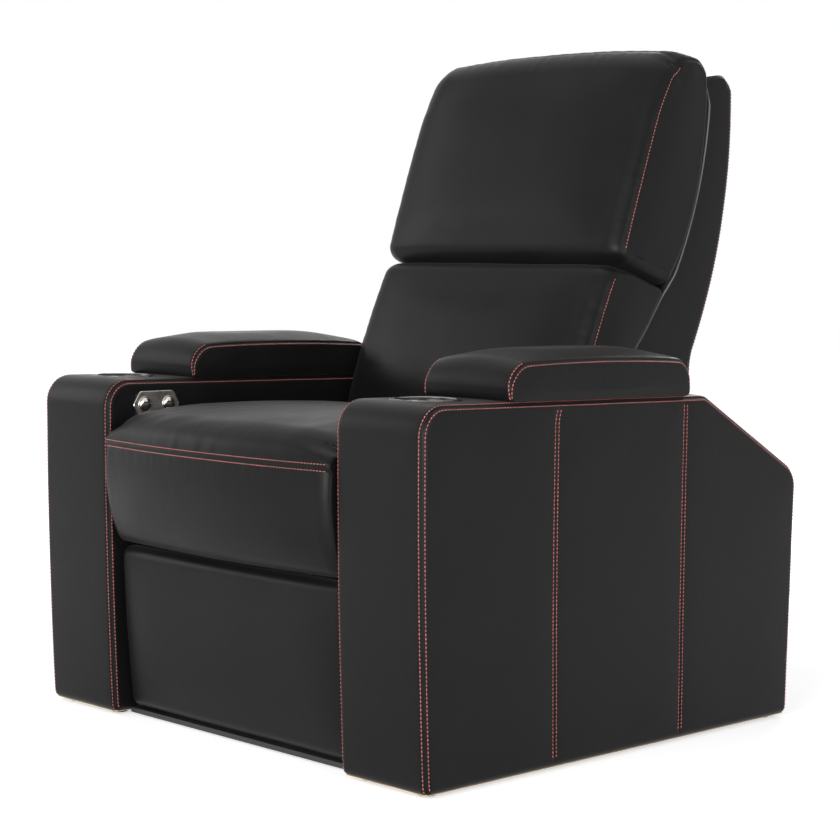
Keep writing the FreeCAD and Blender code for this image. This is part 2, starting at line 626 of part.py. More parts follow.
def soft_section(x, corners):
    """Closed wire across X. Each corner is (y, z, radius, bulge): its own rounding, and how far
    the side that leaves it bows outwards."""
    points = [Vector(x, corner[0], corner[1]) for corner in corners]
    count = len(points)
    area = sum(points[i].y * points[(i + 1) % count].z - points[(i + 1) % count].y * points[i].z
               for i in range(count))
    turn = 1 if area > 0 else -1
    ways = [(points[(i + 1) % count] - points[i]).normalize() for i in range(count)]
    entries, middles, exits = [], [], []
    for i, corner in enumerate(corners):
        arriving, leaving = ways[i - 1], ways[i]
        half = arriving.getAngle(leaving) / 2
        back = corner[2] * math.tan(half)
        entries.append(points[i] - arriving * back)
        exits.append(points[i] + leaving * back)
        inwards = (leaving - arriving).normalize()
        middles.append(points[i] + inwards * (corner[2] / math.cos(half) - corner[2]))
    edges = []
    for i, corner in enumerate(corners):
        edges.append(Part.Arc(entries[i], middles[i], exits[i]).toShape())
        start, end = exits[i], entries[(i + 1) % count]
        if abs(corner[3]) < 1e-6:
            edges.append(Part.LineSegment(start, end).toShape())
            continue
        outwards = Vector(0, ways[i].z, -ways[i].y) * turn
        middle = (start + end) / 2 + outwards * corner[3]
        edges.append(Part.Arc(start, middle, end).toShape())
    return Part.Wire(edges)


def drawn_in(corners, factor):
    """The same corners, pulled towards their middle."""
    middle_y = sum(corner[0] for corner in corners) / len(corners)
    middle_z = sum(corner[1] for corner in corners) / len(corners)
    return [(middle_y + (y - middle_y) * factor, middle_z + (z - middle_z) * factor,
             radius * factor, bulge * factor) for y, z, radius, bulge in corners]


SECTION_SHARES = (-1.0, -0.965, -0.8, 0.8, 0.965, 1.0)  # stations across a boxed cushion
SECTION_SIZES = (0.93, 0.985, 1.0, 1.0, 0.985, 0.93)  # how much each is drawn in


def soft_body(node, stations):
    """Upholstered form lofted through sections across X."""
    item = document.addObject("Part::Feature", node)
    sections = [soft_section(x, corners) for x, corners in sorted(stations)]
    item.Shape = Part.makeLoft(sections, True, True)
    place(item)
    return keep(item, node)


def build_arm_pad(word, side):
    """Boxed pad on the arm's top, crowned across and rounded at both ends."""
    start, end = value("dim.pad_start"), value("dim.pad_end")
    fall = value("dim.arm_top_fall") / value("dim.arm_slope_start")
    top = value("dim.arm_height") + value("dim.soft_clearance")
    boxing, crown = value("dim.pad_thickness"), value("dim.pad_crown")
    front, rear = value("dim.pad_front_radius"), value("dim.pad_rear_radius")
    foot, swell = value("dim.pad_foot_radius"), value("dim.pad_front_swell")
    drop, gap = value("dim.pad_edge_drop"), value("dim.fit_clearance")
    inner, width = value("dim.seat_gap / 2"), value("dim.arm_width")

    def corners(lift, inset):
        share = (boxing + lift - drop) / boxing
        return [(start + inset, top - fall * start, foot, 0),
                (start + inset, top + boxing + lift - swell, front * share, swell),
                (end - inset, top + boxing + lift - drop - fall * end, rear * share, 0),
                (end - inset, top - fall * end + gap, foot, 0)]
    side_section = (-value("dim.pad_side_drop"), value("dim.pad_side_inset"))
    seam_section = (-value("dim.pad_seam_drop"), value("dim.pad_seam_inset"))
    shares = ((0.0, *side_section), (0.05, *seam_section), (0.25, crown * 0.6, 0),
              (0.5, crown, 0), (0.75, crown * 0.6, 0), (0.95, *seam_section),
              (1.0, *side_section))
    soft_body(word + "_arm_pad", [(side * (inner + width * share), corners(lift, inset))
                                  for share, lift, inset in shares])


def build_cup_holder(word, side):
    """Turned metal cup with a flange that rests on the arm's top."""
    body = new_body(word + "_cup_holder")
    place(body, "%d * (dim.seat_gap + dim.arm_width) / 2" % side, "dim.cup_y",
          "dim.arm_height - dim.arm_top_fall * dim.cup_y / dim.arm_slope_start"
          " + dim.cup_flange_seat")
    sketch = new_sketch(body, "XZ_Plane")
    outline(sketch, [
        ("0", "-dim.cup_depth - dim.cup_wall"),
        ("dim.cup_radius + dim.cup_wall", "-dim.cup_depth - dim.cup_wall"),
        ("dim.cup_radius + dim.cup_wall", "-dim.fit_clearance"),
        ("dim.cup_flange", "-dim.fit_clearance"),
        ("dim.cup_flange - dim.cup_flange_bevel", "dim.cup_flange_height"),
        ("dim.cup_radius", "dim.cup_flange_height"),
        ("dim.cup_radius", "-dim.cup_depth"),
        ("0", "-dim.cup_depth"),
    ])
    revolve(body, sketch)
    keep(body, word + "_cup_holder")


# Seat switch in the right arm

def build_switch():
    """Plate, two buttons and the box behind them."""
    face = "-dim.seat_gap / 2"
    buttons = ["dim.switch_y - dim.button_spacing / 2", "dim.switch_y + dim.button_spacing / 2"]
    hole = "dim.button_radius + dim.button_clearance"
    plate = new_body("control_plate")
    sketch = new_sketch(plate, "YZ_Plane", face + " + dim.fit_clearance")
    outline(sketch, [
        ("dim.switch_y - dim.switch_length / 2", "dim.switch_z"),
        ("dim.switch_y - dim.switch_shoulder / 2", "dim.switch_z - dim.switch_height / 2"),
        ("dim.switch_y + dim.switch_shoulder / 2", "dim.switch_z - dim.switch_height / 2"),
        ("dim.switch_y + dim.switch_length / 2", "dim.switch_z"),
        ("dim.switch_y + dim.switch_shoulder / 2", "dim.switch_z + dim.switch_height / 2"),
        ("dim.switch_y - dim.switch_shoulder / 2", "dim.switch_z + dim.switch_height / 2"),
    ])
    for button in buttons:
        circle(sketch, button, "dim.switch_z", hole)
    pad(plate, sketch, "dim.switch_plate")
    radius = value(hole)

    def upright_edge(edge):
        return edge.Curve.TypeId == "Part::GeomLine" and abs(edge.tangentAt(0).x) > 0.99
    dress(plate, "Fillet", "dim.switch_corner", upright_edge)
    outer = value(face + " + dim.fit_clearance + dim.switch_plate")

    def rim(edge):
        ring = edge.Curve.TypeId == "Part::GeomCircle" and abs(edge.Curve.Radius - radius) < 0.01
        return lies_at("x", [outer])(edge) and not ring
    dress(plate, "Chamfer", "dim.switch_bevel", rim)
    keep(plate, "control_plate")
    for node, button in zip(("recline_button", "upright_button"), buttons):
        cap = new_body(node)
        cap.Placement = FreeCAD.Placement(Vector(), FreeCAD.Rotation(Vector(0, 1, 0), 90))
        place(cap, face + " + dim.fit_clearance + dim.switch_plate", button, "dim.switch_z")
        sketch = new_sketch(cap, "XZ_Plane")
        outline(sketch, [
            ("0", "dim.button_rise"),
            ("dim.button_radius", "dim.button_rise"),
            ("dim.button_radius", "-dim.switch_plate"),
            ("dim.stem_radius", "-dim.switch_plate"),
            ("dim.stem_radius", "-dim.switch_plate - dim.stem_length"),
            ("0", "-dim.switch_plate - dim.stem_length"),
        ])
        revolve(cap, sketch)
        top, edge_radius = value("dim.button_rise"), value("dim.button_radius")

        def crown(edge):
            return lies_at("z", [top])(edge) and edge.Length > 6 * edge_radius
        dress(cap, "Fillet", "dim.button_dome", crown)
        keep(cap, node)
    case = box("switch_case", "dim.box_depth", "dim.box_length", "dim.box_height",
               face + " - dim.box_depth", "dim.switch_y - dim.box_length / 2",
               "dim.switch_z - dim.box_height / 2")
    wells = []
    for number, button in enumerate(buttons):
        wells.append(cylinder("well%d" % number, "X", hole, "dim.well_depth + " + OVERSHOOT,
                              face + " - dim.well_depth", button, "dim.switch_z"))
        wells.append(cylinder("bore%d" % number, "X", "dim.stem_radius + dim.running_clearance",
                              "dim.stem_length + dim.stem_room + " + OVERSHOOT,
                              face + " - dim.stem_length - dim.stem_room", button,
                              "dim.switch_z"))
    keep(cut("switch_box", case, wells), "switch_box")


# Base

def build_base():
    """Floor rails, cross members, glides, risers and arm bolts."""
    inner = "(dim.seat_gap / 2 - dim.fit_clearance - dim.rail_width)"
    start = "(dim.front_bar_y + dim.front_bar_width + dim.fit_clearance)"
    end = "(dim.rear_tube_y - dim.fit_clearance)"
    high, low = "dim.rail_lift + dim.rail_height", "dim.rail_lift"
    floor = "dim.rail_lift + dim.rail_wall"
    bolts = []
    for word, side in SIDES.items():
        near, far = "%d * %s" % (side, inner), "%d * (%s + dim.rail_width)" % (side, inner)
        near_in = "%d * (%s + dim.rail_wall)" % (side, inner)
        far_in = "%d * (%s + dim.rail_width - dim.rail_wall)" % (side, inner)
        rail = new_body(word + "_rail_form")
        sketch = new_sketch(rail, "XZ_Plane", "-%s" % end)
        outline(sketch, [(near, high), (near_in, high), (near_in, floor), (far_in, floor),
                         (far_in, high), (far, high), (far, low), (near, low)])
        pad(rail, sketch, "%s - %s" % (end, start))
        bar_top = low + " + dim.front_bar_height"
        across = "dim.rail_width + 2 * " + OVERSHOOT
        across_start = mirrored(side, "%s - %s" % (inner, OVERSHOOT), across)
        tools = [box(word + "_rail_notch", across, "dim.rail_notch - (%s) + %s" % (start, OVERSHOOT),
                     "dim.rail_height", across_start, "%s - %s" % (start, OVERSHOOT), bar_top)]
        for spot in ("dim.bolt_front", "dim.bolt_rear"):
            tools.append(cylinder(word + "_rail_bore", "X",
                                  "dim.bolt_radius + dim.running_clearance", across,
                                  across_start, spot, "dim.bolt_z"))
            bolts.append(arm_bolt(word + "_bolt", side, spot, far_in))
        keep(cut(word + "_base_rail", rail, tools), word + "_base_rail")
        build_risers(word, side)
    keep(group("arm_bolts", bolts), "arm_bolts")
    span = "2 * (%s + dim.rail_width)" % inner
    keep(box("front_cross_bar", span, "dim.front_bar_width", "dim.front_bar_height",
             "-(%s) / 2" % span, "dim.front_bar_y", low), "front_cross_bar")
    tube = new_body("rear_cross_tube")
    sketch = new_sketch(tube, "YZ_Plane", "-(%s) / 2" % span)
    ring(sketch, "dim.rear_tube_y", low, "dim.rear_tube_width", "dim.rear_tube_height",
         "dim.rail_wall")
    pad(tube, sketch, span)
    keep(tube, "rear_cross_tube")


def rectangle(x, y, width, height):
    """Corners of an upright rectangle from its lowest corner."""
    right, top = "%s + %s" % (x, width), "%s + %s" % (y, height)
    return [(x, y), (right, y), (right, top), (x, top)]


def ring(sketch, x, y, width, height, wall):
    """Section of a rectangular tube."""
    outline(sketch, rectangle(x, y, width, height))
    outline(sketch, rectangle("%s + %s" % (x, wall), "%s + %s" % (y, wall),
                              "%s - 2 * %s" % (width, wall), "%s - 2 * %s" % (height, wall)))


def arm_bolt(name, side, spot, seat):
    """Bolt through the rail's outer wall into the arm; its head lies inside the rail."""
    reach = "dim.rail_wall + dim.fit_clearance + dim.cover_thickness + dim.ply_thickness"
    shank = cylinder(name, "X", "dim.bolt_radius", reach,
                     seat if side > 0 else "%s - (%s)" % (seat, reach), spot, "dim.bolt_z")
    head = document.addObject("Part::Prism", name + "_head")
    head.Polygon = 6
    head.setExpression("Circumradius", "dim.bolt_head")
    head.setExpression("Height", "dim.bolt_head_height")
    head.Placement = FreeCAD.Placement(Vector(), TURNS["X"])
    place(head, "%s - dim.bolt_head_height" % seat if side > 0 else seat, spot, "dim.bolt_z")
    return fuse(name + "_whole", [shank, head])


def build_risers(word, side):
    """Two upright bars that carry a side plate on the base rail."""
    inner = "dim.side_plate_inner + dim.plate_thickness + dim.fit_clearance"
    foot = "dim.rail_lift + dim.fit_clearance"
    bars = [box("%s_riser%d" % (word, number), "dim.plate_thickness", "dim.riser_width",
                "dim.side_plate_top - (%s)" % foot, mirrored(side, inner, "dim.plate_thickness"),
                start, foot)
            for number, start in enumerate(("dim.riser_front", "dim.riser_rear"))]
    keep(group(word + "_risers", bars), word + "_risers")


def build_floor_glides():
    """Round plastic feet: four under each arm and two under each base rail."""
    feet = []
    inner = "(dim.seat_gap / 2 - dim.fit_clearance - dim.rail_width)"
    start = "(dim.front_bar_y + dim.front_bar_width + dim.fit_clearance)"
    for word, side in SIDES.items():
        for across in ("dim.glide_inset", "dim.arm_width - dim.glide_inset"):
            for along in ("dim.glide_inset", "dim.arm_depth - dim.arm_rear_tuck - dim.glide_inset"):
                feet.append(cylinder(word + "_glide", "Z", "dim.glide_radius", "dim.glide_height",
                                     "%d * (dim.seat_gap / 2 + %s)" % (side, across), along))
        for spot in (start + " + dim.glide_radius", "dim.rear_tube_y - dim.glide_radius"):
            feet.append(cylinder(word + "_rail_glide", "Z", "dim.rail_glide_radius",
                                 "dim.rail_lift", "%d * (%s + dim.rail_width / 2)" % (side, inner),
                                 spot))
    keep(group("floor_glides", feet), "floor_glides")


# Linkage

def rivet(name, side, inner, outer, pivot, shank="dim.pin_radius", heads=("inner", "outer")):
    """Pin through an inner and an outer layer of steel, with a collar between them and a head
    on the stated ends; the other end is flush."""
    low, high = layer(inner), layer(outer)
    steel = "dim.plate_thickness"
    gap = "dim.head_gap"
    spans = [(shank, "%s - %s" % (low, gap), "%s + %s - (%s) + 2 * %s" % (high, steel, low, gap)),
             ("dim.pin_head", "%s + %s + dim.collar_gap" % (low, steel),
              "%s - (%s) - %s - 2 * dim.collar_gap" % (high, low, steel))]
    if "inner" in heads:
        spans.append(("dim.pin_head", "%s - dim.pin_head_height - %s" % (low, gap),
                      "dim.pin_head_height"))
    if "outer" in heads:
        spans.append(("dim.pin_head", "%s + %s + %s" % (high, steel, gap), "dim.pin_head_height"))
    return fuse(name, [cylinder("%s_%d" % (name, number), "X", radius, length,
                                mirrored(side, start, length), *pivot)
                       for number, (radius, start, length) in enumerate(spans)])


def link(node, side, number, arms, half="dim.link_half"):
    """Flat steel link in a layer. Each arm joins two pivots, given with their bores."""
    body = new_body(node)
    for first, first_bore, last, last_bore in arms:
        sketch = new_sketch(body, "YZ_Plane", mirrored(side, layer(number), "dim.plate_thickness"))
        slot_outline(sketch, first, last, half)
        circle(sketch, first[0], first[1], first_bore)
        circle(sketch, last[0], last[1], last_bore)
        pad(body, sketch, "dim.plate_thickness")
    return keep(body, node)


def build_links():
    """The links of each side, which make two parallelograms, and the pins that ride on them."""
    front_pins, rear_pins = [], []
    for word, side in SIDES.items():
        link(word + "_front_link", side, 3, [(FRONT_PIVOT, PIN_BORE, FOOT_PIVOT, PIN_BORE),
                                             (FOOT_PIVOT, PIN_BORE, STEP_PIVOT, PIN_BORE),
                                             (STEP_PIVOT, PIN_BORE, FRONT_PIVOT, PIN_BORE)])
        link(word + "_inner_link", side, 2, [(STEP_PIVOT, PIN_BORE, UPPER_PIVOT, OPEN_BORE)])
        link(word + "_outer_link", side, 4, [(FOOT_PIVOT, PIN_BORE, BOARD_PIVOT, PIN_BORE),
                                             (FOOT_PIVOT, PIN_BORE, CLOSING_PIVOT, OPEN_BORE)])
        link(word + "_rear_link", side, 5, [(REAR_PIVOT, SHAFT_BORE, CLOSING_PIVOT, PIN_BORE)])
        front_pins.append(rivet(word + "_foot_pin", side, 4, 3, FOOT_PIVOT))
        front_pins.append(rivet(word + "_step_pin", side, 3, 2, STEP_PIVOT, heads=("outer",)))
        rear_pins.append(rivet(word + "_closing_pin", side, 5, 4, CLOSING_PIVOT,
                               heads=("inner",)))
    pin_half = "(%s + dim.lever_plate + dim.pin_stand_out)" % LEVER_GAP
    rear_pins.append(cylinder("lever_pin", "X", "dim.lever_pin_radius", "2 * %s" % pin_half,
                              "-%s" % pin_half, *LEVER_PIN))
    keep(group("front_link_pins", front_pins), "front_link_pins")
    keep(group("rear_link_pins", rear_pins), "rear_link_pins")


def build_side_plates():
    """Side plates of the mechanism and the fixed pins that they carry."""
    corners = [
        ("dim.side_plate_start", "dim.side_plate_nose"),
        ("dim.front_pivot_y - dim.nose_step", "dim.side_plate_nose - dim.nose_fall"),
        ("dim.front_pivot_y - dim.nose_end", "dim.side_plate_low"),
        ("dim.side_plate_end - dim.plate_corner", "dim.side_plate_low"),
        ("dim.side_plate_end", "dim.side_plate_low + dim.plate_corner"),
        ("dim.side_plate_end", "dim.side_plate_top"),
        ("dim.side_plate_start", "dim.side_plate_top"),
    ]
    bolt_bore = "dim.pivot_bolt_radius + dim.running_clearance"
    holes = [(*FRONT_PIVOT, PIN_BORE), (*REAR_PIVOT, SHAFT_BORE), (*BACK_PIVOT, bolt_bore)]
    windows = [("dim.rear_pivot_y + dim.window_start + %d * dim.window_pitch" % number,
                "dim.side_plate_low + dim.window_height", "dim.window_radius")
               for number in range(3)]
    pins = []
    for word, side in SIDES.items():
        plate = slab(word + "_side_plate", side, layer(0), "dim.plate_thickness", corners,
                     holes + windows)
        keep(plate, word + "_side_plate")
        pins.append(rivet(word + "_front_pin", side, 3, 0, FRONT_PIVOT))
        pins.append(rivet(word + "_recline_bolt", side, 1, 0, BACK_PIVOT,
                          shank="dim.pivot_bolt_radius"))
    keep(group("frame_pins", pins), "frame_pins")


# Legrest

def legrest_edge(depth, rise):
    """Point of the leaning legrest, so deep behind its face and so high above its foot."""
    return ("dim.legrest_foot_y + %s - dim.legrest_lean * (%s) / dim.legrest_height" % (depth, rise),
            "dim.legrest_foot_z + %s" % rise)


def build_legrest():
    """Padded panel, its board, and the brackets and pins that join it to the links."""
    foot_y, foot_z = value("dim.legrest_foot_y"), value("dim.legrest_foot_z")
    top_y, top_z = foot_y - value("dim.legrest_lean"), foot_z + value("dim.legrest_height")
    thickness, rounding = value("dim.legrest_pad"), value("dim.legrest_round")
    rear_rounding, swell = value("dim.legrest_rear_round"), value("dim.legrest_swell")
    corners = [(foot_y, foot_z, rounding, swell), (top_y, top_z, rounding, 0),
               (top_y + thickness, top_z, rear_rounding, 0),
               (foot_y + thickness, foot_z, rear_rounding, 0)]
    half = value("dim.legrest_half")
    soft_body("legrest_pad", [(half * share, drawn_in(corners, factor))
                              for share, factor in zip(SECTION_SHARES, SECTION_SIZES)])
    near = "dim.legrest_pad + dim.soft_clearance"
    far = near + " + dim.board_thickness"
    low, high = "dim.board_inset", "dim.legrest_height - dim.board_inset"
    half_width = "dim.legrest_half - dim.board_inset"
    board = new_body("legrest_board")
    sketch = new_sketch(board, "YZ_Plane", "-(%s)" % half_width)
    outline(sketch, [legrest_edge(near, low), legrest_edge(far, low), legrest_edge(far, high),
                     legrest_edge(near, high)])
    pad(board, sketch, "2 * (%s)" % half_width)
    keep(board, "legrest_board")
    face = far + " + dim.fit_clearance"
    pins = []
    for word, side in SIDES.items():
        bracket = slab(word + "_legrest_bracket", side, layer(1), "dim.plate_thickness", [
            legrest_edge(face, "dim.bracket_low"),
            ("dim.board_pivot_y + dim.bracket_nose", "dim.board_pivot_z - dim.bracket_drop"),
            (UPPER_PIVOT[0] + " + dim.bracket_nose", UPPER_PIVOT[1] + " - dim.bracket_cheek"),
            (UPPER_PIVOT[0] + " + dim.bracket_tip", UPPER_PIVOT[1] + " + dim.bracket_rise"),
            legrest_edge(face, "dim.bracket_high"),
        ], [(*BOARD_PIVOT, PIN_BORE), (*UPPER_PIVOT, PIN_BORE)])
        start = "%s + dim.plate_thickness - dim.bracket_flange" % layer(1)
        sketch = new_sketch(bracket, "YZ_Plane", mirrored(side, start, "dim.bracket_flange"))
        back = face + " + dim.plate_thickness"
        outline(sketch, [legrest_edge(face, "dim.bracket_low"),
                         legrest_edge(back, "dim.bracket_low"),
                         legrest_edge(back, "dim.bracket_high"),
                         legrest_edge(face, "dim.bracket_high")])
        pad(bracket, sketch, "dim.bracket_flange")
        keep(bracket, word + "_legrest_bracket")
        pins.append(rivet(word + "_board_pin", side, 4, 1, BOARD_PIVOT))
        pins.append(rivet(word + "_upper_pin", side, 2, 1, UPPER_PIVOT))
    keep(group("legrest_pins", pins), "legrest_pins")


# Drive

def build_drive():
    """Torque shaft with its lever, and the screw drive that pushes it."""
    reach = "dim.side_plate_inner + dim.plate_thickness + dim.shaft_stand_out"
    keep(cylinder("torque_shaft", "X", "dim.shaft_radius", "2 * (%s)" % reach,
                  "-(%s)" % reach, *REAR_PIVOT), "torque_shaft")
    pin, near = LEVER_PIN, LEVER_GAP
    pin_bore = "dim.lever_pin_radius + dim.running_clearance"
    lever = new_body("drive_lever")
    sketch = new_sketch(lever, "YZ_Plane", "-(%s) - dim.lever_plate" % near)
    circle(sketch, *REAR_PIVOT, "dim.lever_half")
    circle(sketch, *REAR_PIVOT, SHAFT_BORE)
    pad(lever, sketch, "2 * (%s + dim.lever_plate)" % near)
    for side in SIDES.values():
        sketch = new_sketch(lever, "YZ_Plane", mirrored(side, near, "dim.lever_plate"))
        slot_outline(sketch, REAR_PIVOT, pin, "dim.lever_half")
        circle(sketch, *REAR_PIVOT, SHAFT_BORE)
        circle(sketch, *pin, pin_bore)
        pad(lever, sketch, "dim.lever_plate")
    keep(lever, "drive_lever")
    axis_z = "dim.rear_pivot_z - dim.rod_drop"
    eye = new_body("drive_eye")
    sketch = new_sketch(eye, "YZ_Plane", "-dim.clevis_plate / 2")
    outline(sketch, rectangle("%s - dim.slot_width / 2 - dim.eye_rim" % pin[0],
                              "%s - dim.slot_height / 2 - dim.eye_rim" % axis_z,
                              "dim.slot_width + dim.eye_rim + dim.eye_neck",
                              "dim.slot_height + 2 * dim.eye_rim"))
    pad(eye, sketch, "dim.clevis_plate")
    slot = eye.newObject("PartDesign::Pocket", "eye_slot")
    sketch = new_sketch(eye, "YZ_Plane", "dim.clevis_plate / 2")
    ends = "(dim.slot_height - dim.slot_width) / 2"
    slot_outline(sketch, (pin[0], "%s - %s" % (axis_z, ends)), (pin[0], "%s + %s" % (axis_z, ends)),
                 "dim.slot_width / 2")
    slot.Profile = sketch
    slot.setExpression("Length", "dim.clevis_plate")
    rod_start = "%s + dim.slot_width / 2 + dim.eye_neck - dim.eye_socket" % pin[0]
    rod = cylinder("drive_rod_bar", "Y", "dim.rod_radius", "dim.rod_length", "0", rod_start, axis_z)
    keep(fuse("drive_rod", [eye, rod]), "drive_rod")
    length = "dim.gearbox_start - dim.tube_start"
    tube = cylinder("drive_tube_form", "Y", "dim.tube_radius", length, "0", "dim.tube_start",
                    axis_z)
    bore = cylinder("drive_tube_bore", "Y", "dim.rod_radius + dim.running_clearance",
                    "%s + 2 * %s" % (length, OVERSHOOT), "0",
                    "dim.tube_start - " + OVERSHOOT, axis_z)
    keep(cut("drive_tube", tube, [bore]), "drive_tube")
    build_gearbox(axis_z)


def build_gearbox(axis_z):
    """Gearbox with the motor beside it, hung from the rear seat rail."""
    half = "dim.gearbox_half"
    gearbox = new_body("gearbox")
    sketch = new_sketch(gearbox, "YZ_Plane", "-" + half)
    outline(sketch, rectangle("dim.gearbox_start + dim.fit_clearance", "%s - %s" % (axis_z, half),
                              "dim.gearbox_length", "2 * " + half))
    pad(gearbox, sketch, "2 * " + half)
    dress(gearbox, "Fillet", "dim.gearbox_round", lambda edge: True)
    keep(gearbox, "gearbox")
    keep(cylinder("drive_motor", "X", "dim.motor_radius", "dim.motor_length",
                  half + " + dim.fit_clearance", "dim.gearbox_start + dim.gearbox_length / 2",
                  axis_z), "drive_motor")
    steel = "dim.plate_thickness"
    seat = "(%s + %s + dim.fit_clearance)" % (axis_z, half)
    roof = "(dim.side_plate_top - dim.seat_rail_height - dim.fit_clearance)"
    start = "dim.gearbox_start + dim.hanger_start"
    back = "dim.gearbox_start + dim.gearbox_length - dim.hanger_back"
    lip = "dim.seat_rear + dim.seat_rail_depth - dim.hanger_lip"
    bracket = slab("motor_bracket", 1, "-dim.hanger_width / 2", "dim.hanger_width", [
        (start, seat),
        (back, seat),
        (back, "%s - %s" % (roof, steel)),
        (lip, "%s - %s" % (roof, steel)),
        (lip, roof),
        ("%s - %s" % (back, steel), roof),
        ("%s - %s" % (back, steel), "%s + %s" % (seat, steel)),
        (start, "%s + %s" % (seat, steel)),
    ])
    keep(bracket, "motor_bracket")


# Seat

def build_seat_frame():
    """Four steel rails and the webbing across them."""
    low = "dim.side_plate_top - dim.seat_rail_height"
    reach = "dim.side_plate_inner - dim.fit_clearance"
    wall = "dim.seat_rail_wall"
    for node, start in (("seat_front_rail", "dim.side_plate_start"),
                        ("seat_rear_rail", "dim.seat_rear")):
        rail = new_body(node)
        sketch = new_sketch(rail, "YZ_Plane", "-(%s)" % reach)
        ring(sketch, start, low, "dim.seat_rail_depth", "dim.seat_rail_height", wall)
        pad(rail, sketch, "2 * (%s)" % reach)
        keep(rail, node)
    front = "(dim.side_plate_start + dim.seat_rail_depth + dim.fit_clearance)"
    for word, side in SIDES.items():
        rail = new_body(word + "_seat_rail")
        sketch = new_sketch(rail, "XZ_Plane", "-(dim.seat_rear - dim.fit_clearance)")
        ring(sketch, mirrored(side, "dim.seat_side_inner", "dim.seat_side_width"), low,
             "dim.seat_side_width", "dim.seat_rail_height", wall)
        pad(rail, sketch, "dim.seat_rear - dim.fit_clearance - %s" % front)
        keep(rail, word + "_seat_rail")
    bands = []
    pitch = "(2 * dim.seat_side_inner - dim.webbing_width) / (dim.seat_bands - 1)"
    for number in range(int(value("dim.seat_bands"))):
        bands.append(box("seat_band", "dim.webbing_width",
                         "dim.seat_rear + dim.seat_rail_depth - dim.side_plate_start",
                         "dim.webbing_thickness", "-dim.seat_side_inner + %d * %s" % (number, pitch),
                         "dim.side_plate_start", "dim.side_plate_top + dim.fit_clearance"))
    keep(group("seat_webbing", bands), "seat_webbing")


def build_seat():
    """Seat cushion and front roll, both crowned across the seat."""
    base = value("dim.side_plate_top + dim.fit_clearance + dim.webbing_thickness"
                 " + dim.soft_clearance")
    half, bow = value("dim.seat_half"), value("dim.seat_bow")
    seam_y, seam_z, end = value("dim.seam_y"), value("dim.seam_z"), value("dim.seat_end")
    back, bottom = value("dim.roll_back"), value("dim.roll_bottom")
    gap = value("dim.soft_clearance")
    foot, swell = value("dim.roll_foot_y"), value("dim.roll_swell")
    side_z, crown_z = value("dim.seat_side_z"), value("dim.seat_crown_z")

    nose, nose_round = value("dim.seat_nose_depth"), value("dim.seat_nose_radius")
    fall, rear_round = value("dim.seat_rear_fall"), value("dim.seat_rear_radius")
    seam_round, low_round = value("dim.seat_seam_radius"), value("dim.seat_low_radius")
    foot_round = value("dim.seat_foot_radius")
    middle_bulge, side_bulge = value("dim.seat_top_bulge"), value("dim.seat_side_bulge")

    def cushion(ahead, top, bulge, inset):
        front = seam_y - ahead + inset
        return [(front, seam_z + gap, seam_round, seam_round),
                (front + nose, top - bulge, nose_round, bulge),
                (end - inset, top - bulge - fall, rear_round, low_round),
                (end - inset, base, foot_round, 0),
                (back + gap, base, low_round, 0), (back + gap, seam_z + gap, low_round, 0)]

    def roll(ahead, inset):
        front = seam_y - ahead + inset
        lower = foot - ahead * 0.7 + inset
        return [(front, seam_z, seam_round, swell), (lower, bottom, (back - lower) * 0.6, 0),
                (back, bottom, seam_round, 0), (back, seam_z, seam_round, 0)]
    cushions, rolls = [], []
    for share in (-1.0, -0.97, -0.9, -0.75, -0.4, 0.0, 0.4, 0.75, 0.9, 0.97, 1.0):
        edge = share ** 12
        ahead, inset = bow * (1 - share ** 2), value("dim.seat_edge_inset") * edge
        top = crown_z - (crown_z - side_z) * edge
        bulge = middle_bulge - (middle_bulge - side_bulge) * edge
        cushions.append((half * share, cushion(ahead, top, bulge, inset)))
        rolls.append((half * share, roll(ahead, inset)))
    soft_body("seat_cushion", cushions)
    soft_body("seat_front_roll", rolls)


# Back

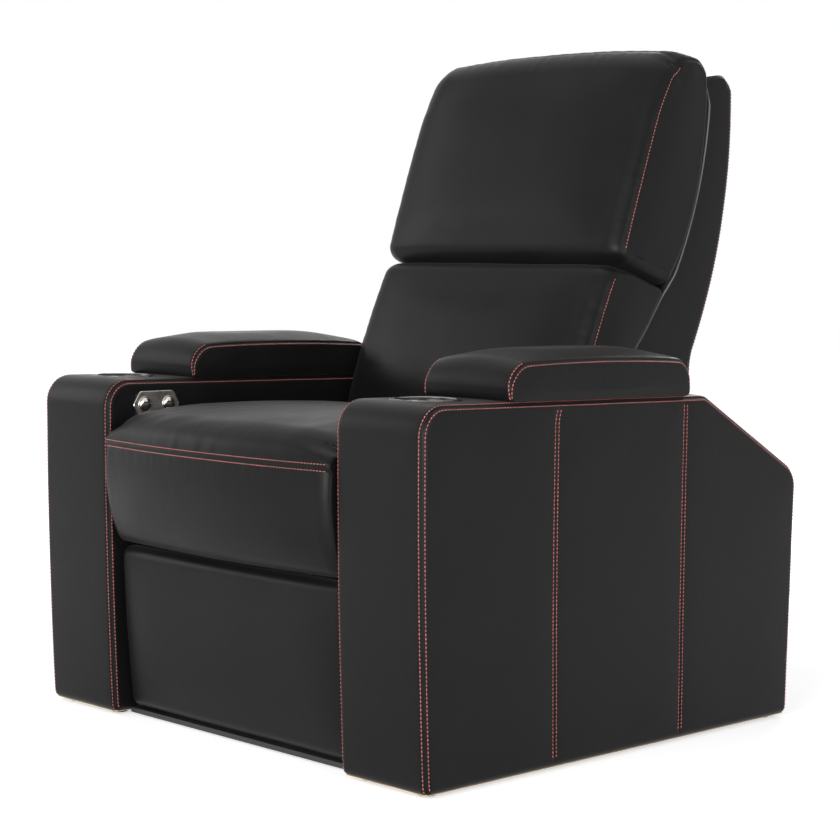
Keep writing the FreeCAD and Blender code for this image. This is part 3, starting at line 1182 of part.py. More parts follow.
def build_back_frame():
    """Timber frame of the back with its webbing, foam and steel brackets."""
    foot = ("dim.upright_foot_y", "dim.upright_foot_z")
    slope = "(dim.upright_top_y - dim.upright_foot_y) / (dim.upright_top_z - dim.upright_foot_z)"

    def on_upright(depth, height):
        return ("%s + %s * (%s - %s) + %s" % (foot[0], slope, height, foot[1], depth), height)

    def bar(low, high, near="0", far="dim.upright_depth"):
        return [on_upright(near, low), on_upright(far, low), on_upright(far, high),
                on_upright(near, high)]
    outer = "(%s - dim.fit_clearance)" % layer(1)
    frame = new_body("back_frame")
    for side in SIDES.values():
        start = "%s - dim.upright_width" % outer
        sketch = new_sketch(frame, "YZ_Plane", mirrored(side, start, "dim.upright_width"))
        outline(sketch, bar(foot[1], "dim.upright_top_z"))
        pad(frame, sketch, "dim.upright_width")
    wide = "(dim.shell_half - dim.shell_wall - dim.fit_clearance)"
    for low, half in ((foot[1], outer), ("dim.lumbar_top_z - dim.cross_height / 2", wide),
                      ("dim.upright_top_z - dim.cross_height", wide)):
        sketch = new_sketch(frame, "YZ_Plane", "-" + half)
        outline(sketch, bar(low, low + " + dim.cross_height"))
        pad(frame, sketch, "2 * " + half)
    keep(frame, "back_frame")
    bands = []
    reach = "(%s - dim.back_band_inset)" % outer
    for number in range(int(value("dim.back_bands"))):
        low = "dim.upright_foot_z + dim.back_band_start + %d * dim.back_band_pitch" % number
        near = "-dim.fit_clearance - dim.webbing_thickness"
        band = new_body("back_band")
        sketch = new_sketch(band, "YZ_Plane", "-" + reach)
        outline(sketch, bar(low, low + " + dim.webbing_width", near, "-dim.fit_clearance"))
        pad(band, sketch, "2 * " + reach)
        bands.append(band)
    keep(group("back_webbing", bands), "back_webbing")
    knee, strap = ("dim.knee_y", "dim.knee_z"), ("dim.strap_y", "dim.strap_z")
    bolt_bore = "dim.pivot_bolt_radius + dim.running_clearance"
    for word, side in SIDES.items():
        bracket = new_body(word + "_back_bracket")
        start = mirrored(side, layer(1), "dim.plate_thickness")
        sketch = new_sketch(bracket, "YZ_Plane", start)
        slot_outline(sketch, BACK_PIVOT, knee, "dim.pivot_boss")
        circle(sketch, *BACK_PIVOT, bolt_bore)
        pad(bracket, sketch, "dim.plate_thickness")
        sketch = new_sketch(bracket, "YZ_Plane", start)
        slot_outline(sketch, knee, strap, "dim.strap_half")
        pad(bracket, sketch, "dim.plate_thickness")
        keep(bracket, word + "_back_bracket")


def shell_outline(inset, front, foot):
    """Side outline of the back shell, drawn in at rear, top and foot; the front is moved."""
    return [
        ("dim.shell_foot_y - %s" % front, foot),
        ("dim.shell_rear_low_y - dim.shell_foot_lean - %s" % inset, foot),
        ("dim.shell_rear_low_y - %s" % inset, "dim.shell_rear_low_z",
         "dim.shell_rear_mid_y - %s" % inset, "dim.shell_rear_mid_z"),
        ("dim.shell_rear_y - %s" % inset, "dim.shell_top_z - %s" % inset),
        ("dim.shell_front_top_y - %s" % front, "dim.shell_top_z - dim.shell_top_fall - %s" % inset,
         "dim.shell_front_mid_y - %s" % front, "dim.shell_front_mid_z"),
        ("dim.shell_front_low_y - %s" % front, "dim.shell_front_low_z"),
    ]


def build_shell():
    """Padded tray that closes the back: rear, top, foot and two side walls."""
    outer = new_body("shell_form")
    sketch = new_sketch(outer, "YZ_Plane", "-dim.shell_half")
    outline(sketch, shell_outline("0", "0", "dim.shell_foot_z"))
    pad(outer, sketch, "2 * dim.shell_half")
    half = value("dim.shell_half")
    dress(outer, "Fillet", "dim.shell_round",
          runs_along_x("dim.shell_rear_y", "dim.shell_top_z"))
    dress(outer, "Fillet", "dim.shell_hip_radius",
          runs_along_x("dim.shell_rear_low_y", "dim.shell_rear_low_z"))

    def rear_edge(edge):
        flat = lies_at("x", [-half, half])(edge)
        return flat and edge.CenterOfMass.y > value("dim.shell_rear_low_y - dim.shell_wall / 2")
    dress(outer, "Fillet", "dim.shell_side_round", rear_edge)
    inner = new_body("shell_hollow")
    sketch = new_sketch(inner, "YZ_Plane", "-(dim.shell_half - dim.shell_wall)")
    outline(sketch, shell_outline("dim.shell_wall", "3 * " + OVERSHOOT,
                                  "dim.shell_foot_z + dim.shell_wall"))
    pad(inner, sketch, "2 * (dim.shell_half - dim.shell_wall)")
    keep(cut("back_shell", outer, [inner]), "back_shell")


def shell_front_circle():
    """Centre and radius of the arc that the shell's upper front edge follows (y, z)."""
    points = [(value("dim.shell_front_low_y"), value("dim.shell_front_low_z")),
              (value("dim.shell_front_mid_y"), value("dim.shell_front_mid_z")),
              (value("dim.shell_front_top_y"), value("dim.shell_top_z - dim.shell_top_fall"))]
    curve = Part.Arc(*[Vector(0, *point) for point in points]).toShape().Curve
    return curve.Center.y, curve.Center.z, curve.Radius


def shell_front_at(height):
    """Where the shell's upper front edge lies at a height."""
    centre_y, centre_z, radius = shell_front_circle()
    return centre_y + math.copysign(math.sqrt(radius ** 2 - (height - centre_z) ** 2),
                                    value("dim.shell_front_mid_y") - centre_y)


def bow_along_shell(start, end, gap):
    """How far the side from start to end must bow to keep a gap to the shell's front edge."""
    middle = ((start[0] + end[0]) / 2, (start[1] + end[1]) / 2)
    chord = math.hypot(end[0] - start[0], end[1] - start[1])
    lean = abs(end[1] - start[1]) / chord
    centre_y, centre_z, radius = shell_front_circle()
    reach = radius - math.hypot(middle[0] - centre_y, middle[1] - centre_z)
    return max(reach - gap, 0.0) / max(lean, 0.5) * lean


def build_back_foam():
    """Foam between the webbing and the cushions, inside the shell."""
    slope = "(dim.upright_top_y - dim.upright_foot_y) / (dim.upright_top_z - dim.upright_foot_z)"
    behind = "(dim.fit_clearance + dim.webbing_thickness + dim.soft_clearance)"

    def on_webbing(height):
        return ("dim.upright_foot_y + %s * (%s - dim.upright_foot_z) - %s"
                % (slope, height, behind), height)
    low, high = "dim.shell_front_low_z", "dim.upright_top_z - dim.foam_drop"
    foam = new_body("back_foam")
    half = "(%s - dim.fit_clearance - dim.foam_side_gap)" % layer(1)
    sketch = new_sketch(foam, "YZ_Plane", "-" + half)
    outline(sketch, [on_webbing(low), on_webbing(high),
                     ("%s + dim.foam_gap" % shell_front_at(value(high)), high,
                      "dim.shell_front_mid_y + dim.foam_gap", "dim.shell_front_mid_z"),
                     ("dim.shell_front_low_y + dim.foam_gap", low)])
    pad(foam, sketch, "2 * " + half)
    keep(foam, "back_foam")


def build_back_cushions():
    """Lumbar and head cushions, which meet in a crease, and the foam behind them."""
    foot_y, foot_z = value("dim.lumbar_foot_y"), value("dim.lumbar_foot_z")
    top_y, top_z = value("dim.lumbar_top_y"), value("dim.lumbar_top_z")
    fall, gap = value("dim.crease_fall"), value("dim.crease_gap")
    low_y, low_z = value("dim.shell_front_low_y"), value("dim.shell_front_low_z")
    rear_y, rear_z = value("dim.head_rear_y"), value("dim.head_rear_z")
    seat = value("dim.soft_clearance")
    crease_z = top_z - fall
    crease = (shell_front_at(crease_z) - seat, crease_z)
    hip = (low_y - value("dim.lumbar_hip_seat"), low_z)
    heel_y = value("dim.shell_foot_y + dim.lumbar_rear_step")
    heel_z = foot_z - value("dim.lumbar_rear_drop")
    lumbar = [(foot_y, foot_z, value("dim.lumbar_foot_radius"), value("dim.lumbar_bulge")),
              (top_y, top_z, value("dim.lumbar_top_radius"), 0),
              (*crease, value("dim.lumbar_crease_radius"), bow_along_shell(crease, hip, 2 * seat)),
              (*hip, value("dim.lumbar_hip_radius"), 0),
              (heel_y, heel_z, value("dim.lumbar_rear_radius"), 0)]
    half = value("dim.lumbar_half")
    soft_body("lumbar_cushion", [(half * share, drawn_in(lumbar, factor))
                                 for share, factor in zip(SECTION_SHARES, SECTION_SIZES)])
    head_y, head_z = value("dim.head_top_y"), value("dim.head_top_z")
    crown = value("dim.head_crown")
    rear_foot = (shell_front_at(crease_z + gap) - seat, crease_z + gap)
    bow = bow_along_shell((rear_y, rear_z), rear_foot, seat)
    step, bulge = value("dim.head_foot_step"), value("dim.head_bulge")
    foot_round, top_round = value("dim.head_foot_radius"), value("dim.head_top_radius")
    rear_round, heel_round = value("dim.head_rear_radius"), value("dim.head_heel_radius")
    top_bulge = value("dim.head_top_bulge")

    def head(lift):
        return [(top_y + step, top_z + gap + step, foot_round, bulge + lift * 0.6),
                (head_y, head_z + lift, top_round, top_bulge),
                (rear_y, rear_z + lift * 0.6, rear_round, bow), (*rear_foot, heel_round, 0)]
    half = value("dim.head_half")
    soft_body("head_cushion", [(half * share, drawn_in(head(crown * lift), factor))
                               for share, factor, lift in
                               ((-1.0, 0.93, -0.4), (-0.965, 0.985, 0), (-0.8, 1.0, 0.4),
                                (-0.4, 1.0, 0.85), (0.0, 1.0, 1.0), (0.4, 1.0, 0.85),
                                (0.8, 1.0, 0.4), (0.965, 0.985, 0), (1.0, 0.93, -0.4))])


def build_all():
    """Every sub-part of the seat."""
    for word, side in SIDES.items():
        build_arm(word, side)
        build_cup_holder(word, side)
    build_switch()
    build_floor_glides()
    build_base()
    build_side_plates()
    build_links()
    build_legrest()
    build_drive()
    build_seat_frame()
    build_seat()
    build_back_frame()
    build_shell()
    build_back_foam()
    build_back_cushions()


def write_parts():
    """Checks every object and writes each sub-part to its own file."""
    document.recompute()
    for item in document.Objects:
        if "Invalid" in item.State or "Error" in item.State:
            raise RuntimeError("%s failed: %s" % (item.Label, item.State))
    os.makedirs("parts", exist_ok=True)
    for item in SUBPARTS:
        shape = item.Shape
        if shape.isNull() or not shape.isValid() or shape.Volume <= 0:
            raise RuntimeError("%s has no valid solid" % item.Label)
        shape.exportStep("parts/%s.step" % item.Label)
        print("%-22s %8.1f cm3  %d solid(s)" % (item.Label, shape.Volume / 1000,
                                                len(shape.Solids)))
    print("%d sub-parts" % len(SUBPARTS))


build_all()
write_parts()
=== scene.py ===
"""Cinema recliner seat: its leather, seams, stitching and finishes, with light and camera."""
import json
import math
from collections import namedtuple
import bpy
import numpy as np
from mathutils import Matrix, Vector, kdtree, noise
from mathutils.bvhtree import BVHTree


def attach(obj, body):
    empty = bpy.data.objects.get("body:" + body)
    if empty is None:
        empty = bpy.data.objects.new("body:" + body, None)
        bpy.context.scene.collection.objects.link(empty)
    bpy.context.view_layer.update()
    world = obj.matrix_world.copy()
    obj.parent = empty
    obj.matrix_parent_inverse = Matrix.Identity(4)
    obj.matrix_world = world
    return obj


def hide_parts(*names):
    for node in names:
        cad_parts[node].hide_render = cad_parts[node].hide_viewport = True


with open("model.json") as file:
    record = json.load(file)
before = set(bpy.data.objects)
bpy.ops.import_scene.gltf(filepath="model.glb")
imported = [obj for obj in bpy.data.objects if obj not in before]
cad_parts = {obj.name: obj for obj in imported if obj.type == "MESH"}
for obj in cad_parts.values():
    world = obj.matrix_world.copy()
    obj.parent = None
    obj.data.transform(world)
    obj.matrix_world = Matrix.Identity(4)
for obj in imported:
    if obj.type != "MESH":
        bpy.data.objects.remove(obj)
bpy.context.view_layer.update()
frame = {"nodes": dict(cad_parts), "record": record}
SETBACK = 435.65  # mm from the arm fronts to the origin
SIDES = (("right", -1), ("left", 1))

# Outlines: corners (y, z, radius, bow of the next side) in mm, seen from the sitter's left
ARM_OUTLINE = [(0, 5.2, 10, 4), (-16, 560, 42, 0), (613, 551, 24, 0), (859, 414, 36, 0),
               (847, 5.2, 10, 0)]
PAD_OUTLINE = [(163, 557.4, 6, 3), (165, 613, 34, 5), (570, 609, 26, 2), (572, 551.6, 6, 0)]
CUSHION_OUTLINE = [(29, 353, 3, 0), (-25, 459.9, 3.5, 3), (-8, 509, 42, 11), (482, 498, 42, 2),
                   (482, 353, 8, 0)]
ROLL_OUTLINE = [(3, 293, 22, 13), (-25, 459.3, 3.5, 0), (28, 459.3, 3, 0), (28, 293, 3, 0)]
SHELL_OUTLINE = [(612, 331, 6, 0), (655, 608, 60, -46), (834, 1077, 8, 3), (920, 1085, 22, 33),
                 (822, 596, 150, 0), (818, 331, 12, 0)]
LEGREST_OUTLINE = [(28, 16, 15, 3), (5, 286, 15, 0), (43, 286, 4, 0), (66, 16, 4, 0)]
SHELL_EDGE = ((655, 608), (783, 816), (834, 1077))  # three points of the shell's front edge

ARM_FACES = (280.2, 462.0)  # inner and outer face of an arm, from the seat's middle
PAD_FACES = (280.4, 462.0)
PANEL_SEAMS = (267.0, 560.0)  # the two upright seams of an arm's side
ARM_AHEAD, ARM_LENGTH = 8, 862  # how far the grid starts ahead of the arm's front, and its length
ARM_EDGE = 12.0
CUP_X, CUP_Y, CUP_Z = 371.0, 78.0, 560.3
CUP_HOLE = 49.6
SEAT_HALF, SEAT_CLEAR = 276.5, 278.6
SEAT_SEAM_Z, SEAT_BOW = 459.6, 25
LUMBAR_HALF, HEAD_HALF, SHELL_HALF, LEGREST_HALF = 275, 283, 266, 271
LEGREST_SLOPE = 0.085  # how far the closed legrest leans back, as a share of its height
HEAD_SEAM_SHARE = 0.18  # where the seam crosses the head cushion's top, from front to rear


# Outlines and blocks

CIRCLE_HOLD = 0.5523  # handle length of a cubic quarter circle
ARC_HALF = 6  # steps in half a corner


def unit(vector):
    """Vector scaled to length one."""
    return vector / np.linalg.norm(vector)


def outline(corners, step=3.0):
    """Closed outline through rounded corners, and each corner's place on it.

    It runs clockwise: up the front, back along the top, down the rear."""
    count = len(corners)
    spot = [np.array(c[:2], float) for c in corners]
    course = [unit(spot[(i + 1) % count] - spot[i]) for i in range(count)]
    sides, reach = [], []
    for i in range(count):
        along = spot[(i + 1) % count] - spot[i]
        out = np.array((-course[i][1], course[i][0]))
        t = np.linspace(0, 1, max(int(np.linalg.norm(along) / step), 8) + 1)[:, None]
        sides.append(spot[i] + along * t + out * corners[i][3] * 4 * t * (1 - t))
        turn = math.acos(float(np.clip(course[i - 1] @ course[i], -1, 1)))
        reach.append(corners[i][2] * math.tan(turn / 2))
    points, places = [], []
    t = np.linspace(0, 1, 2 * ARC_HALF + 1)[:, None]
    for i in range(count):
        before, after, n = sides[i - 1], sides[i], (i + 1) % count
        start = before[np.linalg.norm(before - spot[i], axis=1) > reach[i]][-1:]
        end = after[np.linalg.norm(after - spot[i], axis=1) > reach[i]][:1]
        leave = start + (spot[i] - start) * CIRCLE_HOLD
        enter = end + (spot[i] - end) * CIRCLE_HOLD
        places.append(len(points) + ARC_HALF)
        points.extend((1 - t) ** 3 * start + 3 * (1 - t) ** 2 * t * leave
                      + 3 * (1 - t) * t ** 2 * enter + t ** 3 * end)
        keep = after[np.linalg.norm(after - spot[i], axis=1) > reach[i] + step]
        points.extend(keep[np.linalg.norm(keep - spot[n], axis=1) > reach[n] + step])
    return np.array(points), places


def stretch_of(points, first, last):
    """Part of a closed outline from one place on it to another."""
    if last <= first:
        last += len(points)
    return points[np.arange(first, last + 1) % len(points)]


def sampled(path, shares):
    """Points at shares of a path's length."""
    run = np.concatenate(([0], np.cumsum(np.linalg.norm(np.diff(path, axis=0), axis=1))))
    at = np.asarray(shares) * run[-1]
    return np.stack([np.interp(at, run, path[:, i]) for i in range(path.shape[1])], 1)


def sampled_at_y(path, spots):
    """Points of a path that never turns back along y, at given values of y."""
    order = np.argsort(path[:, 0])
    return np.stack([spots, np.interp(spots, path[order, 0], path[order, 1])], 1)


def spread(total, marks=(), fine=0.0, reach=0.0, coarse=0.0):
    """Nodes from 0 to a total, close together round the marks, as shares of the total."""
    nodes, here = [0.0], 0.0
    while here < total:
        near = min([abs(here - m) for m in marks] + [1e9])
        here += fine if near < reach else coarse
        nodes.append(min(here, total))
    nodes = np.array(nodes)
    for mark in marks:
        nodes[np.argmin(abs(nodes - mark))] = mark
    return np.unique(nodes) / total


class Block:
    """Closed quad mesh over a side outline, with rounded edges towards both side panels."""

    def __init__(self, corners, splits, low_x, high_x, upright, along, across, edge,
                 edge_steps=10, seam_columns=None):
        self.rows, self.columns = len(upright) - 1, len(along) - 1
        self.edge_ring = edge_steps // 2
        loop = self._loop(corners, splits, upright, along, seam_columns)
        flat, place = self._rings(loop, low_x, high_x, across, edge, edge_steps)
        self.loop_count, self.cross = len(loop), len(place)
        self.points = [np.concatenate([place[:, :, None], flat], 2).reshape(-1, 3)]
        self.faces = []
        for row in range(self.cross - 1):
            a, b = row * self.loop_count, (row + 1) * self.loop_count
            for k in range(self.loop_count):
                n = (k + 1) % self.loop_count
                self.faces.append((a + k, a + n, b + n, b + k))
        self.high_panel = self._panel(0, flat[0], high_x, upright, along, False)
        self.low_panel = self._panel(self.cross - 1, flat[-1], low_x, upright, along, True)
        self.points = np.concatenate(self.points)

    @staticmethod
    def _loop(corners, splits, upright, along, seam_columns):
        """Points round the outline, spaced by shares of its front, top, rear and underside."""
        path, places = outline(corners)
        cut = [places[i] for i in splits]
        front = sampled(stretch_of(path, cut[0], cut[1]), upright)
        rear = sampled(stretch_of(path, cut[2], cut[3]), 1 - upright[::-1])
        over, under = stretch_of(path, cut[1], cut[2]), stretch_of(path, cut[3], cut[0])
        if seam_columns is None:
            top, bottom = sampled(over, along), sampled(under, 1 - along[::-1])
        else:
            shares, spots = seam_columns
            shares = [0, *shares, 1]
            top_y = np.interp(along, shares, [over[0, 0], *spots, over[-1, 0]])
            low_y = np.interp(along, shares, [under[-1, 0], *spots, under[0, 0]])
            top, bottom = sampled_at_y(over, top_y), sampled_at_y(under, low_y)[::-1]
        return np.concatenate([front[:-1], top[:-1], rear[:-1], bottom[:-1]])

    @staticmethod
    def _rings(loop, low_x, high_x, across, edge, edge_steps):
        """Every ring of the band in y and z, and the x of its points."""
        tangent = np.roll(loop, -1, 0) - np.roll(loop, 1, 0)
        tangent /= np.linalg.norm(tangent, axis=1)[:, None]
        normal = np.stack([-tangent[:, 1], tangent[:, 0]], 1)
        width, depth = edge(loop)
        turn = np.linspace(0, math.pi / 2, edge_steps + 1)
        sink = [depth * (1 - math.sin(angle)) for angle in turn]
        inward = [width * (1 - math.cos(angle)) for angle in turn]
        middle = [(high_x - width) * (1 - share) + (low_x + width) * share
                  for share in across[1:-1]]
        place = [high_x - i for i in inward] + middle + [low_x + i for i in inward[::-1]]
        inset = np.array(sink + [0 * depth] * len(middle) + sink[::-1])
        return loop[None] - normal[None] * inset[:, :, None], np.array(place)

    def _panel(self, row, ring, x, upright, along, flip):
        """Fills a side panel in between the four sides of its ring, and gives its points' table."""
        rows, columns, loop = self.rows, self.columns, self.loop_count
        front, top = ring[:rows + 1], ring[rows:rows + columns + 1]
        rear = ring[rows + columns:2 * rows + columns + 1][::-1]
        bottom = np.concatenate([ring[2 * rows + columns:], ring[:1]])[::-1]
        v, u = upright[:, None, None], along[None, :, None]
        fill = ((1 - v) * bottom[None] + v * top[None] + (1 - u) * front[:, None]
                + u * rear[:, None]
                - ((1 - u) * (1 - v) * bottom[0] + u * (1 - v) * bottom[-1]
                   + (1 - u) * v * top[0] + u * v * top[-1]))
        inner = fill[1:-1, 1:-1].reshape(-1, 2)
        start, base = sum(len(p) for p in self.points), row * loop
        self.points.append(np.concatenate([np.full((len(inner), 1), x), inner], 1))
        table = np.zeros((rows + 1, columns + 1), int)
        table[1:-1, 1:-1] = start + np.arange(len(inner)).reshape(rows - 1, columns - 1)
        up, back = np.arange(rows + 1), np.arange(columns + 1)
        table[:, 0] = base + up
        table[:, columns] = base + (2 * rows + columns - up) % loop
        table[rows] = base + rows + back
        table[0] = base + (loop - back) % loop
        quads = np.stack([table[:-1, :-1], table[:-1, 1:], table[1:, 1:], table[1:, :-1]], 2)
        quads = quads.reshape(-1, 4)
        self.faces += [tuple(quad) for quad in (quads[:, ::-1] if flip else quads).tolist()]
        return table

    def ring(self, high, first=0, last=None, step=0):
        """Indices along the rounded edge of one side panel, from one loop place to another."""
        row = self.edge_ring + step if high else self.cross - 1 - self.edge_ring - step
        last = self.loop_count if last is None else last
        return [row * self.loop_count + k % self.loop_count for k in range(first, last + 1)]

    def row_line(self, high, shift, first, last):
        """Line along the rounded edge, so many edge steps from its middle towards the band."""
        low = math.floor(shift)
        a = self.points[np.array(self.ring(high, first, last, low))]
        b = self.points[np.array(self.ring(high, first, last, low + 1))]
        return a + (b - a) * (shift - low)

    def across_at(self, place, inner=0):
        """Indices across the band at one loop place."""
        low = self.edge_ring + inner
        return [row * self.loop_count + place for row in range(low, self.cross - low)]

    def marks(self):
        """Loop places of the four corners: front foot, front top, rear top and rear foot."""
        rows, columns = self.rows, self.columns
        return 0, rows, rows + columns, 2 * rows + columns


def rows_of(points, groups):
    """3-D polylines of index lists."""
    return [points[np.array(group)] for group in groups]


def mesh_normals(points, faces):
    """Unit vertex normals of a quad mesh."""
    faces = np.array(faces)
    a, b, c, d = (points[faces[:, i]] for i in range(4))
    flat = np.cross(c - a, d - b)
    out = np.zeros_like(points)
    for i in range(4):
        np.add.at(out, faces[:, i], flat)
    return out / np.maximum(np.linalg.norm(out, axis=1), 1e-12)[:, None]


def seam_field(points, lines, step=1.0):
    """Distance of each point to the nearest seam line, and how far along the seams that is."""
    spots, runs, base = [], [], 0.0
    for line in lines:
        length = np.linalg.norm(np.diff(line, axis=0), axis=1).sum()
        count = max(int(length / step), 2)
        spots.append(sampled(line, np.linspace(0, 1, count)))
        runs.append(base + np.linspace(0, length, count))
        base += length + 400
    spots, runs = np.concatenate(spots), np.concatenate(runs)
    tree = kdtree.KDTree(len(spots))
    for i, spot in enumerate(spots):
        tree.insert(spot, i)
    tree.balance()
    found = [tree.find(p) for p in points]
    return (np.array([f[2] for f in found]), runs[np.array([f[1] for f in found])])


def noise_at(points, scale, seed):
    """Smooth noise between -1 and 1 at each point."""
    shift = Vector((seed * 7.31, seed * 3.17, seed * 5.73))
    return np.array([noise.noise(Vector(p) * scale + shift) for p in points])


Dress = namedtuple("Dress", "puff spread groove width pucker reach pitch wave scale")
DRESS = {  # mm, but for scale: how the leather of each part swells, dips at seams and puckers
    "arm": Dress(1.6, 26, 1.9, 1.6, 0.22, 14, 16, 0.4, 0.010),
    "pad": Dress(1.2, 14, 1.8, 1.6, 0.35, 12, 10, 0.5, 0.012),
    "seat": Dress(0.0, 30, 1.2, 2.4, 0.75, 30, 13, 1.0, 0.007),
    "roll": Dress(0.0, 30, 1.2, 2.4, 0.6, 26, 13, 0.9, 0.008),
    "back": Dress(1.4, 24, 1.5, 2.8, 1.0, 24, 13, 1.3, 0.006),
    "shell": Dress(1.5, 24, 1.5, 2.2, 0.3, 16, 18, 1.2, 0.006),
    "legrest": Dress(0.0, 20, 0.0, 1.0, 0.0, 10, 5, 0.7, 0.008),
}
PUCKER_DEPTH, BROAD_DEPTH = 40.0, 60  # over which a pucker changes away from its seam
BROAD_SHARE, BROAD_PITCH = 0.6, 2.7  # second, wider puckers against the first


def ripple(run, distance, pitch, seed):
    """Height of the puckers at one spot near a seam, between about -1 and 1."""
    fine = noise.noise(Vector((run / pitch, seed, distance / PUCKER_DEPTH)))
    broad = Vector((run / (pitch * BROAD_PITCH), 3 + seed, distance / BROAD_DEPTH))
    return fine + BROAD_SHARE * noise.noise(broad)


def dressed(block, seams, kind, seed, mask=None):
    """Leather drawn in along the seams and full between them, with puckers and slow waves."""
    dress, points = DRESS[kind], block.points
    distance, run = seam_field(points, seams)
    dip = np.exp(-(distance / dress.width) ** 2)
    amount = dress.puff * (1 - np.exp(-distance / dress.spread)) - dress.groove * dip
    if dress.pucker:
        height = np.array([ripple(r, d, dress.pitch, seed) for r, d in zip(run, distance)])
        amount += dress.pucker * height * np.exp(-distance / dress.reach) * (1 - dip)
    amount += dress.wave * noise_at(points, dress.scale, seed)
    if mask is not None:
        amount = amount * mask(points)
    block.points = points + mesh_normals(points, block.faces) * amount[:, None]


def to_frame(points):
    """Millimetres in the arm-front frame to metres in the row frame."""
    return (np.asarray(points) - (0, SETBACK, 0)) / 1000.0


def new_object(name, data):
    """Object of some data, linked to the scene."""
    item = bpy.data.objects.new(name, data)
    bpy.context.scene.collection.objects.link(item)
    return item


def add_mesh(name, points, faces, material, smooth=True):
    """Object from points in metres and faces."""
    mesh = bpy.data.meshes.new(name)
    mesh.from_pydata([tuple(p) for p in points], [], [tuple(f) for f in faces])
    mesh.update()
    mesh.polygons.foreach_set("use_smooth", [smooth] * len(mesh.polygons))
    mesh.materials.append(material)
    return new_object(name, mesh)


def add_part(name, points, faces, material, body):
    """Mesh from points in millimetres that rides on a body."""
    item = add_mesh(name, to_frame(points), faces, material)
    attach(item, body)
    return item


def piece(name, block, body, node, drop=None):
    """Leather piece of a block, in the place of a CAD node and riding on its body."""
    faces = np.array(block.faces)
    if drop is not None:
        faces = faces[~drop(block.points[faces].mean(1))]
    used, numbers = np.unique(faces, return_inverse=True)
    item = add_part(name, block.points[used], numbers.reshape(-1, 4).tolist(), LEATHER,
                    body)
    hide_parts(node)
    block.surface = BVHTree.FromPolygons([tuple(p) for p in block.points], faces.tolist())


# Stitching

STITCH_PITCH = 6.0
STITCH_LENGTH = 4.7
STITCH_RADIUS = 0.66
STITCH_TIP = 0.05  # radius left at both ends of a stitch
STITCH_SINK = 0.12
STITCH_RINGS, STITCH_SIDES = 6, 6


def stitch_row(block, line):
    """Both ends of each stitch of a row, with the leather's normals there."""
    length = np.linalg.norm(np.diff(line, axis=0), axis=1).sum()
    count = int(length / STITCH_PITCH)
    half = STITCH_LENGTH / 2 / length
    ends = []
    for share in (np.arange(count) + 0.5) / count:
        pair = []
        for end in sampled(line, np.clip([share - half, share + half], 0, 1)):
            spot, normal, _, _ = block.surface.find_nearest(end)
            pair.append((np.array(spot), np.array(normal)))
        ends.append(pair)
    return ends


def stitch_rings(start, stop, normal):
    """Points round every stitch: thin at both ends, full and raised in the middle."""
    along = stop - start
    along /= np.linalg.norm(along, axis=1)[:, None]
    side = np.cross(normal, along)
    points = []
    for ring in range(STITCH_RINGS):
        t = ring / (STITCH_RINGS - 1)
        end = (2 * t - 1) ** 4
        radius = STITCH_RADIUS * max(1 - end, 0.0) ** 0.5 + STITCH_TIP
        centre = start + (stop - start) * t
        centre = centre + normal * (STITCH_RADIUS * (0.75 - 1.1 * end) - STITCH_SINK)
        for step in range(STITCH_SIDES):
            angle = 2 * math.pi * step / STITCH_SIDES
            points.append(centre + side * (radius * math.cos(angle))
                          + normal * (radius * 0.8 * math.sin(angle)))
    return np.stack(points, 1)


def wound_faces(rings, sides):
    """Faces of one closed tube of rings."""
    faces = []
    for ring in range(rings - 1):
        for step in range(sides):
            n, a, b = (step + 1) % sides, ring * sides, (ring + 1) * sides
            faces.append((a + step, a + n, b + n, b + step))
    ends = [tuple(range(sides))[::-1], tuple((rings - 1) * sides + i for i in range(sides))]
    return faces + ends


def stitches(name, rows, body):
    """All the stitches of some rows as one mesh of short rounded threads."""
    pairs = [pair for row in rows for pair in row]
    start, stop = (np.array([p[end][0] for p in pairs]) for end in (0, 1))
    normal = np.array([p[0][1] + p[1][1] for p in pairs])
    normal /= np.linalg.norm(normal, axis=1)[:, None]
    one, per = wound_faces(STITCH_RINGS, STITCH_SIDES), STITCH_RINGS * STITCH_SIDES
    every = [tuple(i * per + v for v in face) for i in range(len(pairs)) for face in one]
    cloud = stitch_rings(start, stop, normal).reshape(-1, 3)
    add_part(name, cloud, every, THREAD, body)


def tube(name, path, radius, material, body, around=10):
    """Round cord along a path in millimetres."""
    tangent = np.vstack([path[1:], path[-1:]]) - np.vstack([path[:1], path[:-1]])
    tangent /= np.linalg.norm(tangent, axis=1)[:, None]
    up = np.array((0.9, 0.1, 0.2))
    points = []
    for spot, direction in zip(path, tangent):
        side = unit(np.cross(direction, up))
        up = np.cross(side, direction)
        for step in range(around):
            angle = 2 * math.pi * step / around
            points.append(spot + radius * (side * math.cos(angle) + up * math.sin(angle)))
    faces = [face[::-1] for face in wound_faces(len(path), around)]
    add_part(name, points, faces, material, body)


# Finishes

